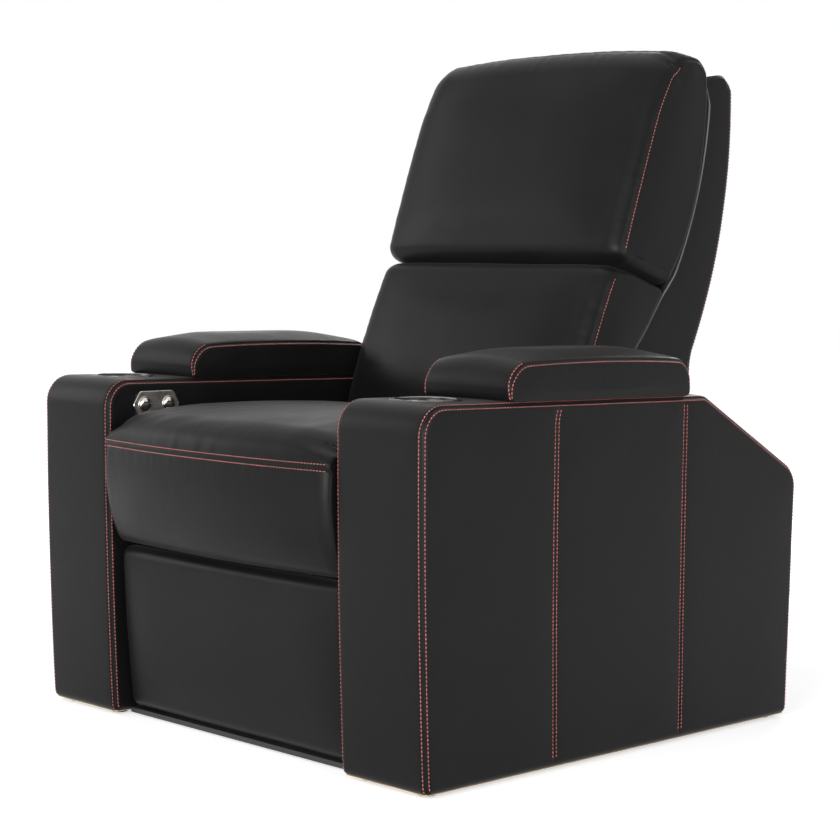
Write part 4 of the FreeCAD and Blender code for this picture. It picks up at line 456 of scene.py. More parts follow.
class Finish:
    """New material with its shader, and short ways to add nodes."""

    def __init__(self, name):
        self.material = bpy.data.materials.new(name)
        self.material.use_nodes = True
        self.tree = self.material.node_tree
        self.shader = self.tree.nodes["Principled BSDF"]
        self.coords = self.add("ShaderNodeTexCoord").outputs["Object"]

    def add(self, kind, inputs=None, **settings):
        """Node with some settings, and inputs that are numbers or other nodes' outputs."""
        node = self.tree.nodes.new(kind)
        for key, setting in settings.items():
            setattr(node, key, setting)
        for key, source in (inputs or {}).items():
            if isinstance(source, bpy.types.NodeSocket):
                self.tree.links.new(source, node.inputs[key])
            else:
                node.inputs[key].default_value = source
        return node

    def link(self, source, target):
        """Links a node's output to an input of the shader."""
        self.tree.links.new(source, self.shader.inputs[target])

    def noise(self, scale, detail, vector=None, **more):
        """Fractal noise over the surface."""
        inputs = {"Vector": vector or self.coords, "Scale": scale, "Detail": detail, **more}
        return self.add("ShaderNodeTexNoise", inputs).outputs["Fac"]

    def mapped(self, scale):
        """Object coordinates, stretched."""
        return self.add("ShaderNodeMapping", {"Vector": self.coords, "Scale": scale}).outputs[0]

    def tones(self, amount, low, high, start=0.0, end=1.0):
        """Base colour from one tone to another by an amount."""
        ramp = self.add("ShaderNodeValToRGB", {"Fac": amount})
        for element, place, tone in zip(ramp.color_ramp.elements, (start, end), (low, high)):
            element.position = place
            element.color = (*(min(c, 1) for c in tone), 1)
        self.link(ramp.outputs["Color"], "Base Color")

    def gloss(self, amount, low, high):
        """Roughness from one value to another by an amount."""
        rough = self.add("ShaderNodeMapRange", {"Value": amount, "From Min": 0.3,
                                                "From Max": 0.7, "To Min": low, "To Max": high})
        self.link(rough.outputs["Result"], "Roughness")

    def relief(self, height, strength, distance, under=None):
        """Bump as the surface's normal, over another bump if there is one."""
        inputs = {"Height": height, "Strength": strength, "Distance": distance}
        if under is not None:
            inputs["Normal"] = under
        normal = self.add("ShaderNodeBump", inputs).outputs["Normal"]
        self.link(normal, "Normal")
        return normal

    def done(self, numbers):
        """Sets numbers and colours on the shader itself, and gives the material."""
        for key, number in numbers.items():
            self.shader.inputs[key].default_value = number
        return self.material


def times(color, factor):
    """Colour made lighter or darker."""
    return tuple(c * factor for c in color)


def leather(name, dark, light, roughness, grain=0.22, fold=0.25, sheen=0.08):
    """Finely grained satin leather with soft creases and a slightly uneven tone."""
    made = Finish(name)
    cells = made.add("ShaderNodeTexVoronoi", {"Vector": made.coords, "Scale": 620.0,
                                              "Randomness": 1.0}, feature="SMOOTH_F1")
    fine = made.noise(1500.0, 3.0)
    broad = made.noise(9.0, 5.0, Roughness=0.55)
    crease = made.noise(55.0, 6.0, Roughness=0.62, Distortion=0.6)
    made.tones(broad, dark, light)
    made.gloss(broad, roughness - 0.05, roughness + 0.06)
    first = made.relief(crease, fold, 0.0012)
    second = made.relief(cells.outputs["Distance"], grain, 0.0005, first)
    made.relief(fine, grain * 0.6, 0.0002, second)
    return made.done({"Specular IOR Level": 0.1, "Sheen Weight": sheen, "Sheen Roughness": 0.45,
                      "Sheen Tint": (1, 0.93, 0.9, 1)})


def thread(name, color):
    """Waxed sewing thread with its twist."""
    made = Finish(name)
    twist = made.add("ShaderNodeTexWave", {"Vector": made.coords, "Scale": 900.0,
                                           "Distortion": 1.5},
                     wave_type="BANDS", bands_direction="DIAGONAL")
    made.tones(made.noise(60.0, 2.0), times(color, 0.7), times(color, 1.25), 0.35, 0.7)
    made.relief(twist.outputs["Fac"], 0.5, 0.0003)
    return made.done({"Roughness": 0.5, "Sheen Weight": 0.3})


def metal(name, color, roughness, brushed=0.0, scale=(1, 1, 1), metallic=1.0):
    """Metal or coated metal with brushing, handling marks and a slightly uneven gloss."""
    made = Finish(name)
    lines = made.noise(260.0, 6.0, made.mapped(scale), Roughness=0.7)
    made.gloss(made.noise(35.0, 4.0), max(roughness - 0.07, 0.02), roughness + 0.07)
    made.tones(lines, times(color, 0.82), times(color, 1.12), 0.3, 0.7)
    made.relief(lines, brushed, 0.0002)
    return made.done({"Metallic": metallic})


def plastic(name, color, roughness):
    """Moulded plastic with a fine spark-eroded texture."""
    made = Finish(name)
    made.tones(made.noise(30.0, 3.0), times(color, 0.8), times(color, 1.3))
    made.relief(made.noise(900.0, 3.0), 0.3, 0.0002)
    return made.done({"Roughness": roughness})


def woven(name, dark, light, pitch):
    """Plain woven band or cloth: warp over weft."""
    made = Finish(name)
    warp, weft = (made.add("ShaderNodeTexWave", {"Vector": made.coords, "Scale": pitch},
                           bands_direction=way).outputs["Fac"] for way in "XZ")
    weave = made.add("ShaderNodeMath", {0: warp, 1: weft}, operation="MULTIPLY").outputs["Value"]
    made.tones(weave, dark, light)
    made.relief(weave, 0.6, 0.0006)
    return made.done({"Roughness": 0.85})


def plywood(name):
    """Raw birch plywood."""
    made = Finish(name)
    veins = made.noise(4.0, 8.0, made.mapped((6.0, 6.0, 60.0)), Distortion=0.8)
    made.tones(veins, (0.42, 0.27, 0.14), (0.68, 0.50, 0.31), 0.3, 0.75)
    made.relief(veins, 0.2, 0.0005)
    return made.done({"Roughness": 0.65})


LEATHER = leather("black_leather", (0.0034, 0.0033, 0.0034), (0.0066, 0.0063, 0.0063), 0.38,
                  sheen=0.03)
# The piping is black leather: its grey colour is a painted highlight, standing in for the light it
# catches along its round edge.
PIPING_PAINTED_HIGHLIGHT = leather("piping_painted_highlight", (0.10, 0.098, 0.096), (0.16, 0.157, 0.154), 0.5, fold=0.1)
THREAD = thread("red_thread", (0.46, 0.10, 0.09))
STEEL = metal("black_powder_coat", (0.012, 0.012, 0.012), 0.42, 0.25, metallic=0.0)
ZINC = metal("zinc_plated_steel", (0.50, 0.50, 0.48), 0.34, 0.15)
NICKEL = metal("brushed_nickel", (0.50, 0.47, 0.44), 0.30, 0.35, scale=(1, 0.04, 1))
POLISHED = metal("polished_nickel", (0.66, 0.63, 0.59), 0.12, 0.03)
CUP = metal("black_anodised_cup", (0.018, 0.018, 0.019), 0.30, 0.1, metallic=0.6)
CUP_RING = metal("cup_ring", (0.22, 0.22, 0.22), 0.25, 0.1)
PLASTIC = plastic("black_plastic", (0.012, 0.012, 0.012), 0.5)
WEBBING = woven("elastic_webbing", (0.02, 0.02, 0.022), (0.10, 0.10, 0.11), 700.0)
FOAM = plastic("seat_foam", (0.50, 0.47, 0.40), 0.9)
PLYWOOD = plywood("birch_plywood")
BOARD = plastic("black_board", (0.012, 0.012, 0.012), 0.7)

SLOT_FINISH = {"leather": LEATHER, "plywood": PLYWOOD, "webbing": WEBBING, "foam": FOAM,
               "cup_metal": CUP, "nickel": NICKEL, "button": POLISHED, "plastic": PLASTIC,
               "black_steel": STEEL, "zinc_steel": ZINC}


def finish_nodes():
    """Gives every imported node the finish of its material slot."""
    slots = {s["node"]: s["material_slot"] for s in frame["record"]["subparts"]}
    for node, item in frame["nodes"].items():
        for place in item.material_slots:
            place.material = BOARD if node == "legrest_board" else SLOT_FINISH[slots[node]]


# Upholstery

def calmed(field, faces, times_over):
    """Field on a mesh's points, averaged over neighbouring faces."""
    faces = np.array(faces)
    count = np.bincount(faces.ravel(), minlength=len(field))
    for _ in range(times_over):
        middle = np.repeat(field[faces].mean(1), 4)
        field = np.bincount(faces.ravel(), middle, len(field)) / np.maximum(count, 1)
    return field


CLOTH = {"quality": 5, "mass": 0.3, "tension_stiffness": 18, "compression_stiffness": 12,
         "shear_stiffness": 6, "bending_stiffness": 0.6, "use_pressure": True,
         "vertex_group_mass": "grip", "pin_stiffness": 1.0}
CLOTH_FRAMES = 20
CALM_TIMES = 6
KERNEL, NEIGHBOURS = 14.0, 12  # mm and count: how the coarse form's rise spreads to the fine one


def cloth_rise(coarse, hold, pressure):
    """How far each point of a coarse form moves outward as cloth under pressure."""
    item = add_mesh("pressure_form", to_frame(coarse.points), coarse.faces, LEATHER)
    grip = item.vertex_groups.new(name="grip")
    for i, amount in enumerate(hold(coarse.points)):
        if amount > 0.001:
            grip.add([i], float(amount), "REPLACE")
    cloth = item.modifiers.new("cloth", "CLOTH")
    for key, setting in CLOTH.items():
        setattr(cloth.settings, key, setting)
    cloth.settings.uniform_pressure_force = pressure
    cloth.settings.effector_weights.gravity = 0.0
    cloth.collision_settings.use_collision = False
    scene = bpy.context.scene
    for step in range(1, CLOTH_FRAMES + 1):
        scene.frame_set(step)
    graph = bpy.context.evaluated_depsgraph_get()
    result = item.evaluated_get(graph).to_mesh()
    flat = np.empty(len(result.vertices) * 3)
    result.vertices.foreach_get("co", flat)
    moved = (flat.reshape(-1, 3) - to_frame(coarse.points)) * 1000.0
    item.evaluated_get(graph).to_mesh_clear()
    scene.frame_set(1)
    bpy.data.objects.remove(item)
    return (moved * mesh_normals(coarse.points, coarse.faces)).sum(1)


def inflated(block, coarse, hold, pressure, cap, limits):
    """Moves a block as cloth under pressure moves its coarse copy, held where hold() says."""
    rise = np.maximum(cloth_rise(coarse, hold, pressure), 0)
    rise = calmed(cap * np.tanh(rise / cap), coarse.faces, CALM_TIMES)
    moved = mesh_normals(coarse.points, coarse.faces) * rise[:, None]
    tree = kdtree.KDTree(len(coarse.points))
    for i, spot in enumerate(coarse.points):
        tree.insert(spot, i)
    tree.balance()
    shift = np.zeros_like(block.points)
    for i, spot in enumerate(block.points):
        near = tree.find_n(spot, NEIGHBOURS)
        weight = np.array([math.exp(-(n[2] / KERNEL) ** 2) + 1e-9 for n in near])
        shift[i] = (moved[[n[1] for n in near]] * weight[:, None]).sum(0) / weight.sum()
    block.points = limits(block.points + shift)


def within(low_x, high_x, front=-math.inf, top=math.inf):
    """Function that keeps points between two sides, behind a front and below a top."""
    def limits(points):
        points[:, 0] = np.clip(points[:, 0], low_x, high_x)
        points[:, 1] = np.maximum(points[:, 1], front)
        points[:, 2] = np.minimum(points[:, 2], top)
        return points
    return limits


def even(count):
    """Evenly spread shares from 0 to 1."""
    return np.linspace(0, 1, count + 1)


def side_rings(block):
    """Points along both rounded edges of a block, but for its underside."""
    foot, _, _, rear_foot = block.marks()
    return [block.ring(True, foot, rear_foot), block.ring(False, foot, rear_foot)]


def arm_block(side):
    """Leather form of one arm, and the grid columns of its two panel seams."""
    shares = tuple((y + ARM_AHEAD) / ARM_LENGTH for y in PANEL_SEAMS)
    along = spread(ARM_LENGTH, [y + ARM_AHEAD for y in PANEL_SEAMS], 1.3, 11, 4.5)
    low, high = sorted(side * x for x in ARM_FACES)

    def edge(loop):
        return np.full(len(loop), ARM_EDGE), np.full(len(loop), ARM_EDGE)
    block = Block(ARM_OUTLINE, (0, 1, 3, 4), low, high, spread(560, coarse=6), along,
                  spread(164, coarse=3.4), edge, 12, (shares, PANEL_SEAMS))
    return block, [int(np.argmin(abs(along - share))) for share in shares]


def arm_leather(word, side):
    """Cover of one arm: front, top and slope in one band, two side panels, seams and stitches."""
    block, columns = arm_block(side)
    panel = block.high_panel if side > 0 else block.low_panel
    rings = side_rings(block)

    def mask(points):
        inner = np.abs(points[:, 0]) < ARM_FACES[0] + 0.8
        return np.where(inner, 0.0, 1.0) * np.clip((points[:, 2] - 6) / 30, 0, 1)
    dressed(block, rows_of(block.points, rings + [panel[:, i] for i in columns]), "arm",
            2 if side > 0 else 5, mask)

    def drop(middle):
        reach = np.hypot(middle[:, 0] - side * CUP_X, middle[:, 1] - CUP_Y)
        return (reach < CUP_HOLE) & (middle[:, 2] > 500)
    piece(word + "_arm_leather", block, "root", word + "_arm_cover", drop=drop)
    rows = []
    for high, ring in zip((True, False), rings):
        line = block.points[np.array(ring)]
        start = int(np.argmax(line[:, 2] > 10))
        corner = int(np.argmax(line[:, 1] > 60))
        end = len(line) - 1 if high == (side > 0) else corner
        rows.append(stitch_row(block, block.row_line(high, 2.8, start, end)))
        rows.append(stitch_row(block, block.row_line(high, -2.8, start, len(line) - 1)))
    for column in columns:
        for step in (-3, 3):
            rows.append(stitch_row(block, block.points[panel[2:-1, column + step]]))
    stitches(word + "_arm_stitching", rows, "root")


def pad_block(side, upright, along, across, steps):
    """Form of one arm pad with its crown."""
    low, high = sorted(side * x for x in PAD_FACES)

    def edge(loop):
        lift = np.clip((loop[:, 1] - 556) / 40, 0, 1)
        return 5 + 6 * lift, 3 + 7 * lift
    made = Block(PAD_OUTLINE, (0, 1, 2, 3), low, high, upright, along, across, edge, steps)
    points = made.points
    share = (points[:, 0] - (low + high) / 2) / 91.0
    lift = np.clip((points[:, 2] - 566) / 44, 0, 1)
    ends = np.clip((points[:, 1] - 163) / 90, 0, 1) * np.clip((572 - points[:, 1]) / 90, 0, 1)
    points[:, 2] += 10.5 * (1 - share ** 2) * lift * (0.35 + 0.65 * ends ** 0.7)
    return made


def pad_leather(word, side):
    """Arm pad: one top panel from front to rear, and two boxing panels."""
    block = pad_block(side, spread(75, coarse=2.6), spread(390, coarse=4.0),
                      spread(160, coarse=4.0), 12)
    low, high = sorted(side * x for x in PAD_FACES)

    def hold(points):
        return np.where(points[:, 2] < 570, 1.0, 0.0)
    inflated(block, pad_block(side, even(7), even(36), even(14), 2), hold, 3.0, 7.0,
             within(low + 0.2, high + 1.5, top=629))
    rings = side_rings(block)

    def mask(points):
        return np.clip((points[:, 2] - 556) / 12, 0, 1)
    dressed(block, rows_of(block.points, rings), "pad", 8 + side, mask)
    piece(word + "_pad_leather", block, "root", word + "_arm_pad")
    rows = []
    for high_side, ring in zip((True, False), rings):
        line = block.points[np.array(ring)]
        start = int(np.argmax(line[:, 2] > 561))
        end = len(line) - int(np.argmax(line[::-1][:, 2] > 561)) - 1
        corner = int(np.argmax(line[:, 1] > 190))
        rows.append(stitch_row(block, block.row_line(high_side, 2.6, start, corner)))
        rows.append(stitch_row(block, block.row_line(high_side, -2.6, start, end)))
    stitches(word + "_pad_stitching", rows, "root")


def bowed(points, start, end):
    """Pushes the middle of the seat forward, less and less from one y to another."""
    share = points[:, 0] / SEAT_HALF
    fade = np.clip((end - points[:, 1]) / (end - start), 0, 1)
    points[:, 1] -= SEAT_BOW * (1 - share ** 2) * fade
    return points


def seat_block(upright, along, across, steps):
    """Form of the seat cushion: broadly rounded above the front seam."""
    def edge(loop):
        lift = np.clip((loop[:, 1] - 462) / 36, 0, 1)
        lift = lift * lift * (3 - 2 * lift)
        return 10 + 84 * lift, 5 + 31 * lift
    made = Block(CUSHION_OUTLINE, (0, 2, 3, 4), -SEAT_HALF, SEAT_HALF, upright, along, across,
                 edge, steps)
    made.points = bowed(made.points, 60, 380)
    return made


def roll_block(upright, along, across, steps):
    """Form of the front roll: bowed like the seat above it."""
    def edge(loop):
        front = np.clip((14 - loop[:, 0]) / 20, 0, 1)
        return 6 + 16 * front, 3 + 8 * front
    made = Block(ROLL_OUTLINE, (0, 1, 2, 3), -SEAT_HALF, SEAT_HALF, upright, along, across, edge,
                 steps)
    weight = 0.7 + 0.3 * np.clip((made.points[:, 2] - 293) / 166, 0, 1)
    shift = bowed(made.points.copy(), 28, 29) - made.points
    made.points = made.points + shift * weight[:, None]
    return made


def cushion_leather(seam):
    """Seat cushion, from the seam across its front to the back."""
    block = seat_block(spread(170, (115,), 1.8, 12, 4.5), spread(470, coarse=5),
                       spread(540, coarse=5), 14)

    def hold(points):
        at_seam = np.exp(-((points[:, 2] - 460) / 7.0) ** 2) * (points[:, 1] < 40)
        return np.maximum(np.where(points[:, 2] < 455, 1.0, 0.0), at_seam)
    inflated(block, seat_block(even(12), even(34), even(38), 3), hold, 3.5, 9.0,
             within(-SEAT_CLEAR, SEAT_CLEAR, top=527))

    def mask(points):
        return np.clip((points[:, 2] - 430) / 20, 0, 1)
    dressed(block, [seam], "seat", 11, mask)
    block.points = pulls(block.points)
    piece("seat_leather", block, "root", "seat_cushion")
    return block


def roll_leather(seam):
    """Front roll of the seat, below its seam."""
    block = roll_block(spread(175, (166,), 1.8, 14, 4.5), spread(50, coarse=5),
                       spread(540, coarse=5), 12)

    def hold(points):
        return np.where((points[:, 1] > 15) | (points[:, 2] > 452), 1.0, 0.0)
    inflated(block, roll_block(even(16), even(5), even(38), 3), hold, 3.5, 8.0,
             within(-SEAT_CLEAR, SEAT_CLEAR, front=-58))
    dressed(block, [seam], "roll", 12)
    piece("front_roll_leather", block, "root", "seat_front_roll")
    return block


def seat_leather():
    """Seat cushion and front roll, joined in the stitched seam across the front."""
    share = np.linspace(-1, 1, 240)
    seam = np.stack([SEAT_HALF * share, -25.5 - SEAT_BOW * (1 - share ** 2),
                     np.full(len(share), SEAT_SEAM_Z)], 1)
    block, lower = cushion_leather(seam), roll_leather(seam)
    rows = [stitch_row(block, (seam + (0, 1.5, 4.6))[2:-2]),
            stitch_row(lower, (seam + (0, -1.0, -4.6))[2:-2])]
    stitches("seat_stitching", rows, "root")


def pulls(points):
    """Soft folds that fan out over the seat from its front right-hand corner."""
    top = np.clip((points[:, 2] - 485) / 20, 0, 1)
    ahead, beside = points[:, 1] + 80, points[:, 0] + 330
    angle, reach = np.arctan2(ahead, beside), np.hypot(ahead, beside)
    wave = np.sin(angle * 46 + 3 * np.sin(reach / 90)) * np.exp(-((reach - 230) / 150) ** 2)
    return points + np.stack([0 * wave, 0 * wave, 0.4 * wave * top], 1)


def shell_circle():
    """Centre and radius of the arc of the shell's upper front edge."""
    (ay, az), (by, bz), (cy, cz) = SHELL_EDGE
    a, b, c = ay ** 2 + az ** 2, by ** 2 + bz ** 2, cy ** 2 + cz ** 2
    d = 2 * (ay * (bz - cz) + by * (cz - az) + cy * (az - bz))
    oy = (a * (bz - cz) + b * (cz - az) + c * (az - bz)) / d
    oz = (a * (cy - by) + b * (ay - cy) + c * (by - ay)) / d
    return oy, oz, math.hypot(ay - oy, az - oz)


def shell_front(z):
    """y of the shell's upper front edge at a height."""
    oy, oz, radius = shell_circle()
    sign = 1 if oy < 783 else -1
    return oy + sign * math.sqrt(radius ** 2 - (z - oz) ** 2)


def shell_bow(start, end, gap):
    """Bow of a cushion's rear side that keeps a gap to the shell's front edge."""
    oy, oz, radius = shell_circle()
    chord = math.hypot(end[0] - start[0], end[1] - start[1])
    middle = ((start[0] + end[0]) / 2, (start[1] + end[1]) / 2)
    reach = radius - math.hypot(middle[0] - oy, middle[1] - oz)
    return max(reach - gap, 0) / max(abs(end[1] - start[1]) / chord, 0.5)


def cushion_block(corners, splits, half, crown, crest, upright, along, across, steps):
    """Form of a back cushion, crowned across its top and with a broader edge at its crest."""
    def edge(loop):
        front = np.clip((loop[:, 0].mean() + 40 - loop[:, 0]) / 60 + 0.3, 0.25, 1)
        more = np.clip((loop[:, 1] - 1010) / 90, 0, 1) ** 1.5 * crest
        more *= np.clip((800 - loop[:, 0]) / 60, 0, 1)
        return 9 + 25 * front + more, 6 + 16 * front + 0.7 * more
    made = Block(corners, splits, -half, half, upright, along, across, edge, steps)
    lift = crown * np.clip((made.points[:, 2] - 960) / 140, 0, 1)
    made.points[:, 2] += lift * (1 - (made.points[:, 0] / half) ** 2)
    return made


def back_cushion(name, form, size, seams_of, limits, seed):
    """Head or lumbar cushion: front panel, gussets and a stitched seam between them."""
    tall, deep, half = size
    block = cushion_block(*form, spread(tall, coarse=4.2), spread(deep, coarse=4.2),
                          spread(2 * half, coarse=4.6), 14)
    coarse = cushion_block(*form, even(int(tall / 13)), even(int(deep / 13)),
                           even(int(half / 7)), 3)
    distance, _ = seam_field(coarse.points, rows_of(coarse.points, seams_of(coarse)), 4.0)

    def hold(points):
        front = np.interp(points[:, 2], [430, 608, 715, 1100], [600, 640, 705, 815])
        rear = np.clip((points[:, 1] - front) / 10, 0, 1)
        return np.maximum(rear, 0.9 * np.exp(-(distance / 9) ** 2))
    inflated(block, coarse, hold, 4.0, 16.0, limits)
    dressed(block, rows_of(block.points, seams_of(block)), "back", seed)
    piece(name + "_leather", block, "back", name + "_cushion")
    return block


def gusset(block):
    """Edge step of the seam between front panel and gusset."""
    return -(block.edge_ring - 3) if block.edge_ring > 3 else 0


def head_top(block):
    """Loop place of the seam across the head cushion's top."""
    _, front, rear, _ = block.marks()
    return int(front + HEAD_SEAM_SHARE * (rear - front))


def head_seams(block):
    """Seams of the head cushion: along both gussets, and across the top."""
    rear, top, side = block.marks()[2], head_top(block), gusset(block)
    return [block.ring(True, 2, top, side), block.ring(False, 2, top, side),
            block.ring(True, top, rear, side), block.ring(False, top, rear, side),
            block.across_at(top)]


def lumbar_seams(block):
    """Seams of the lumbar cushion, along both gussets."""
    front, side = block.marks()[1], gusset(block)
    return [block.ring(True, 2, front, side), block.ring(False, 2, front, side)]


def lumbar_limits(points):
    """Keeps the lumbar cushion between the arms."""
    wide = 288 - 12 * np.clip((640 - points[:, 2]) / 30, 0, 1)
    points[:, 0] = np.clip(points[:, 0], -wide, wide)
    return points


def back_leather():
    """Head and lumbar cushions and the shell behind them."""
    crease, heel = (shell_front(715) - 0.4, 715), (shell_front(721) - 0.4, 721)
    lumbar = [(486, 470, 26, 9), (594, 758, 22, 1),
              (*crease, 8, shell_bow(crease, (653.8, 608), 0.8)), (653.8, 608, 50, 0),
              (618, 436, 14, 0)]
    head = [(594, 764, 26, 3), (722, 1119, 50, 2),
            (826, 1102, 26, shell_bow((826, 1102), heel, 0.4)), (*heel, 10, 0)]
    block = back_cushion("lumbar", (lumbar, (0, 1, 2, 4), LUMBAR_HALF, 0, 0),
                         (310, 110, LUMBAR_HALF), lumbar_seams, lumbar_limits, 21)
    top = block.marks()[1]
    rows = [stitch_row(block, block.row_line(high, -5.4, 3, top)) for high in (True, False)]
    block = back_cushion("head", (head, (0, 1, 2, 3), HEAD_HALF, 11.0, 24),
                         (375, 105, HEAD_HALF), head_seams, within(-289, 289, top=1129), 22)
    top = head_top(block)
    rows += [stitch_row(block, block.row_line(high, -5.2, 3, top)) for high in (True, False)]
    stitches("back_stitching", rows, "back")
    shell_leather()


def shell_leather():
    """Padded leather shell of the back, stitched down its rear edges."""
    def edge(loop):
        rear = np.clip((loop[:, 0] - shell_spine(loop[:, 1])) / 26, 0, 1)
        return 4 + 13 * rear, 4 + 13 * rear
    block = Block(SHELL_OUTLINE, (0, 2, 3, 5), -SHELL_HALF, SHELL_HALF, spread(770, coarse=6),
                  spread(120, coarse=4), spread(530, coarse=7), edge, 12)
    _, front, _, rear_foot = block.marks()
    rings = [block.ring(high, front, rear_foot - 2) for high in (True, False)]
    dressed(block, rows_of(block.points, rings), "shell", 31)
    piece("back_shell_leather", block, "back", "back_shell")
    start = front + int(np.argmax(block.points[np.array(rings[0])][:, 1] > 912))
    rows = [stitch_row(block, block.row_line(high, -2.2, start, rear_foot - 2))
            for high in (True, False)]
    stitches("shell_stitching", rows, "back")
    shell_piping(block.points[np.array(block.across_at(front, 3))])


def shell_piping(top):
    """Piping up the shell's front edge, over its top and down again."""
    heights = np.linspace(575, 1066, 150)
    wide = np.interp(heights, [575, 700, 740, 1030, 1066], [268, 271, 281.5, 281.5, 270])
    ahead = np.array([shell_front(z) for z in heights]) + 0.8
    side = np.stack([wide, ahead, heights], 1)
    path = np.concatenate([side, top[np.abs(top[:, 0]) < 240], side[::-1] * (-1, 1, 1)])
    path = smoothed(sampled(path, np.linspace(0, 1, 420)), 4)
    # The cord's grey colour is a painted highlight on black leather piping.
    tube("shell_piping", path, 1.5, PIPING_PAINTED_HIGHLIGHT, "back")


def smoothed(path, times):
    """Path with its small kinks taken out."""
    for _ in range(times):
        path[1:-1] = (path[:-2] + 2 * path[1:-1] + path[2:]) / 4
    return path


def shell_spine(height):
    """y halfway between the shell's front and rear edges at a height."""
    return np.interp(height, [330, 608, 816, 1090], [715, 740, 840, 880])


def legrest_block(upright, along, across, steps):
    """Form of the legrest panel, rounded towards its face."""
    def edge(loop):
        face = np.clip((38 - loop[:, 0] + (151 - loop[:, 1]) * LEGREST_SLOPE) / 30, 0, 1)
        return 3 + 12 * face, 2 + 9 * face
    return Block(LEGREST_OUTLINE, (0, 1, 2, 3), -LEGREST_HALF, LEGREST_HALF, upright, along,
                 across, edge, steps)


def legrest_leather():
    """Padded legrest panel."""
    block = legrest_block(spread(270, coarse=5), spread(40, coarse=4), spread(520, coarse=6), 10)

    def hold(points):
        return np.where(points[:, 1] > 24 + (151 - points[:, 2]) * LEGREST_SLOPE, 1.0, 0.0)
    inflated(block, legrest_block(even(20), even(4), even(38), 3), hold, 3.0, 6.0,
             within(-LEGREST_HALF - 1.5, LEGREST_HALF + 1.5))
    dressed(block, [block.points[np.array(block.ring(True))]], "legrest", 41)
    piece("legrest_leather", block, "legrest", "legrest_pad")


def turned(name, profile, material, body, centre, around=96, replaces=None):
    """Round piece turned from a profile of (radius, height) in millimetres."""
    points, faces, count = [], [], len(profile)
    for step in range(around):
        angle = 2 * math.pi * step / around
        for radius, height in profile:
            points.append((centre[0] + radius * math.cos(angle),
                           centre[1] + radius * math.sin(angle), centre[2] + height))
        n = (step + 1) % around
        for i in range(count - 1):
            faces.append((step * count + i, n * count + i, n * count + i + 1, step * count + i + 1))
    item = add_part(name, points, faces, material, body)
    if replaces:
        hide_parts(replaces)
    return item


def cup_holder(word, side):
    """Black cup with a broad flange and a thin bright ring round its mouth."""
    centre = (side * CUP_X, CUP_Y, CUP_Z)
    cup = [(0.01, -70.4), (40, -70.4), (43.4, -69.2), (44.4, -66), (44.5, -4), (44.9, -1.2),
           (45.8, 0.3), (47.2, 0.9), (51.4, 0.9), (53.0, 0.2), (53.5, -1.0), (53.5, -2.2),
           (47.0, -2.3), (46.2, -4), (46.1, -72), (44, -73.6), (0.01, -73.8)]
    turned(word + "_cup", cup, CUP, "root", centre, replaces=word + "_cup_holder")
    ring = [(45.2, 0.2), (45.6, 1.3), (46.4, 1.7), (47.3, 1.4), (47.6, 0.8), (46.5, 0.4),
            (45.2, 0.2)]
    turned(word + "_cup_ring", ring, CUP_RING, "root", centre)


BUTTON_RADIUS, BUTTON_RIM, BUTTON_DOME = 11.0, 2.2, 2.6
BUTTON_PLACES = {"recline_button": 58.5, "upright_button": 107.5}  # y in mm
SWITCH_Z, BUTTON_X, COLLAR_X = 517, 277.4, 277.9


def button(name, y):
    """Polished domed button with a fine collar round it."""
    turn = np.linspace(0, math.pi / 2, 13)
    profile = [(BUTTON_RADIUS * math.sin(angle) + 0.01, BUTTON_RIM + BUTTON_DOME * math.cos(angle))
               for angle in turn]
    profile += [(11.3, 1.2), (11.3, -3.2), (0.01, -3.2)]
    item = turned(name + "_cap", profile, POLISHED, name, (0, 0, 0), 64)
    turn_to_plate(item, y, BUTTON_X)
    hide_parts(name)
    collar = [(11.6, -0.2), (11.7, 0.7), (12.5, 1.0), (13.2, 0.6), (13.4, -0.2), (11.6, -0.2)]
    item = turned(name + "_collar", collar, NICKEL, "root", (0, 0, 0), 64)
    turn_to_plate(item, y, COLLAR_X)


def turn_to_plate(item, y, inward):
    """Stands a turned piece on the switch plate, facing the seat."""
    for vertex in item.data.vertices:
        x, height, rise = vertex.co.x, vertex.co.y + SETBACK / 1000, vertex.co.z
        vertex.co = (-inward / 1000 + rise, (y - SETBACK) / 1000 + x, SWITCH_Z / 1000 + height)
    item.data.update()


def hardware():
    """Cup holders, buttons and their collars."""
    for word, side in SIDES:
        cup_holder(word, side)
    for name, y in BUTTON_PLACES.items():
        button(name, y)


# Stage

WORLD_LIGHT = 0.08
SEAT_MIDDLE = (0, 0, 0.45)
FLOOR_HALF = 12
CAMERA_ANGLES = (46.053381509687625, 4.396125526253882, 0.5910546224692821)  # yaw, pitch, roll
CAMERA_PLACE = (2.55085549, -2.03323163 - SETBACK / 1000, 0.76400081)
FOCAL_SHARE = 2105.9827245452493 / 840.0  # focal length over the picture's width
SENSOR = 36.0
LAMPS = (
    ("top", (0.0, 0.0, 3.6), 3.0, 30.0),
    ("front", (0.4, -4.0, 2.2), 2.4, 60.0),
    ("front_low", (1.6, -3.6, 0.9), 1.6, 110.0),
    ("left", (-3.4, -2.2, 1.8), 2.0, 30.0),
    ("right_low", (3.4, -0.4, 0.9), 2.0, 60.0),
    ("back", (-1.6, 3.6, 2.6), 1.6, 60.0),
)


def area_light(name, place, size, power):
    """Soft square lamp that faces the seat's middle."""
    data = bpy.data.lights.new(name, "AREA")
    data.shape = "RECTANGLE"
    data.size = data.size_y = size
    data.energy = power
    item = new_object(name, data)
    item.location = place
    way = Vector(SEAT_MIDDLE) - Vector(place)
    item.rotation_euler = way.to_track_quat("-Z", "Y").to_euler()


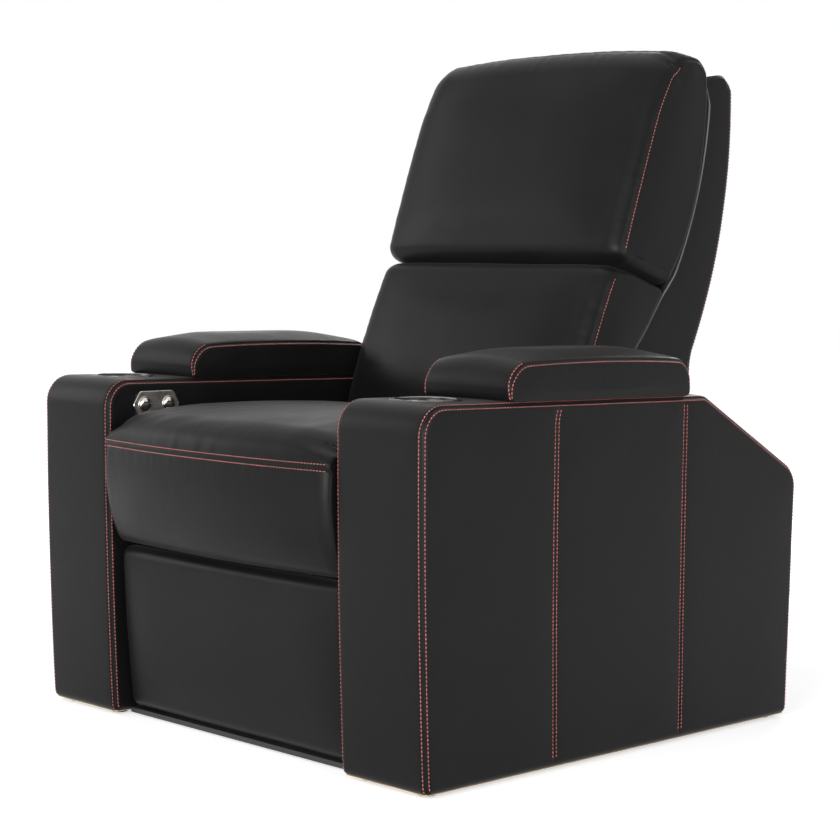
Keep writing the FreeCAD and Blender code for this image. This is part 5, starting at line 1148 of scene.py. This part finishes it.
def shows_room(tree):
    """1 for the camera, glossy and transmission rays, which see the white room, 0 for others."""
    path = tree.nodes.new("ShaderNodeLightPath")
    amount = path.outputs["Is Camera Ray"]
    for ray in ("Is Glossy Ray", "Is Transmission Ray"):
        either = tree.nodes.new("ShaderNodeMath")
        either.operation = "MAXIMUM"
        tree.links.new(amount, either.inputs[0])
        tree.links.new(path.outputs[ray], either.inputs[1])
        amount = either.outputs["Value"]
    return amount


def floor_finish():
    """White floor that keeps the shadow near the seat and is plain white further out."""
    made = Finish("white_floor")
    reach = made.add("ShaderNodeVectorMath", {0: made.coords}, operation="LENGTH")
    gain = made.add("ShaderNodeMapRange", {"Value": reach.outputs["Value"], "From Min": 0.75,
                                           "From Max": 2.0, "To Min": 0.55, "To Max": 1.0},
                    interpolation_type="SMOOTHSTEP")
    amount = made.add("ShaderNodeMath", {0: gain.outputs["Result"], 1: shows_room(made.tree)},
                      operation="MULTIPLY")
    made.link(amount.outputs["Value"], "Emission Strength")
    return made.done({"Base Color": (0.82, 0.82, 0.82, 1), "Roughness": 0.9,
                      "Specular IOR Level": 0.05, "Emission Color": (1, 1, 1, 1)})


def studio_world():
    """Even soft light all round, seen as plain white."""
    world = bpy.data.worlds.new("studio")
    bpy.context.scene.world = world
    world.use_nodes = True
    tree = world.node_tree
    soft = tree.nodes["Background"]
    soft.inputs["Color"].default_value = (1, 1, 1, 1)
    soft.inputs["Strength"].default_value = WORLD_LIGHT
    white = tree.nodes.new("ShaderNodeBackground")
    white.inputs["Color"].default_value = (1, 1, 1, 1)
    white.inputs["Strength"].default_value = 1.0
    mix = tree.nodes.new("ShaderNodeMixShader")
    tree.links.new(shows_room(tree), mix.inputs["Fac"])
    tree.links.new(soft.outputs["Background"], mix.inputs[1])
    tree.links.new(white.outputs["Background"], mix.inputs[2])
    tree.links.new(mix.outputs["Shader"], tree.nodes["World Output"].inputs["Surface"])


def stage():
    """Floor, even surroundings and soft boxes."""
    studio_world()
    far = FLOOR_HALF
    corners = [(-far, -far, 0), (far, -far, 0), (far, far, 0), (-far, far, 0)]
    add_mesh("floor", corners, [(0, 1, 2, 3)], floor_finish(), False)
    for name, place, size, power in LAMPS:
        area_light(name, place, size, power)


def camera():
    """Camera solved from the photograph's straight edges."""
    data = bpy.data.cameras.new("camera")
    item = new_object("camera", data)
    yaw, pitch, roll = (math.radians(angle) for angle in CAMERA_ANGLES)
    forward = Vector((-math.sin(yaw) * math.cos(pitch), math.cos(yaw) * math.cos(pitch),
                      -math.sin(pitch)))
    right = Vector((math.cos(yaw), math.sin(yaw), 0))
    up = right.cross(forward)
    across = right * math.cos(roll) + up * math.sin(roll)
    upward = up * math.cos(roll) - right * math.sin(roll)
    axes = Matrix((across, upward, -forward)).transposed().to_4x4()
    item.matrix_world = Matrix.Translation(CAMERA_PLACE) @ axes
    data.lens = SENSOR * FOCAL_SHARE
    data.sensor_width = SENSOR
    bpy.context.scene.camera = item


finish_nodes()
for arm_word, arm_side in SIDES:
    arm_leather(arm_word, arm_side)
    pad_leather(arm_word, arm_side)
seat_leather()
back_leather()
legrest_leather()
hardware()
stage()
camera()
bpy.context.scene.view_settings.view_transform = "Standard"
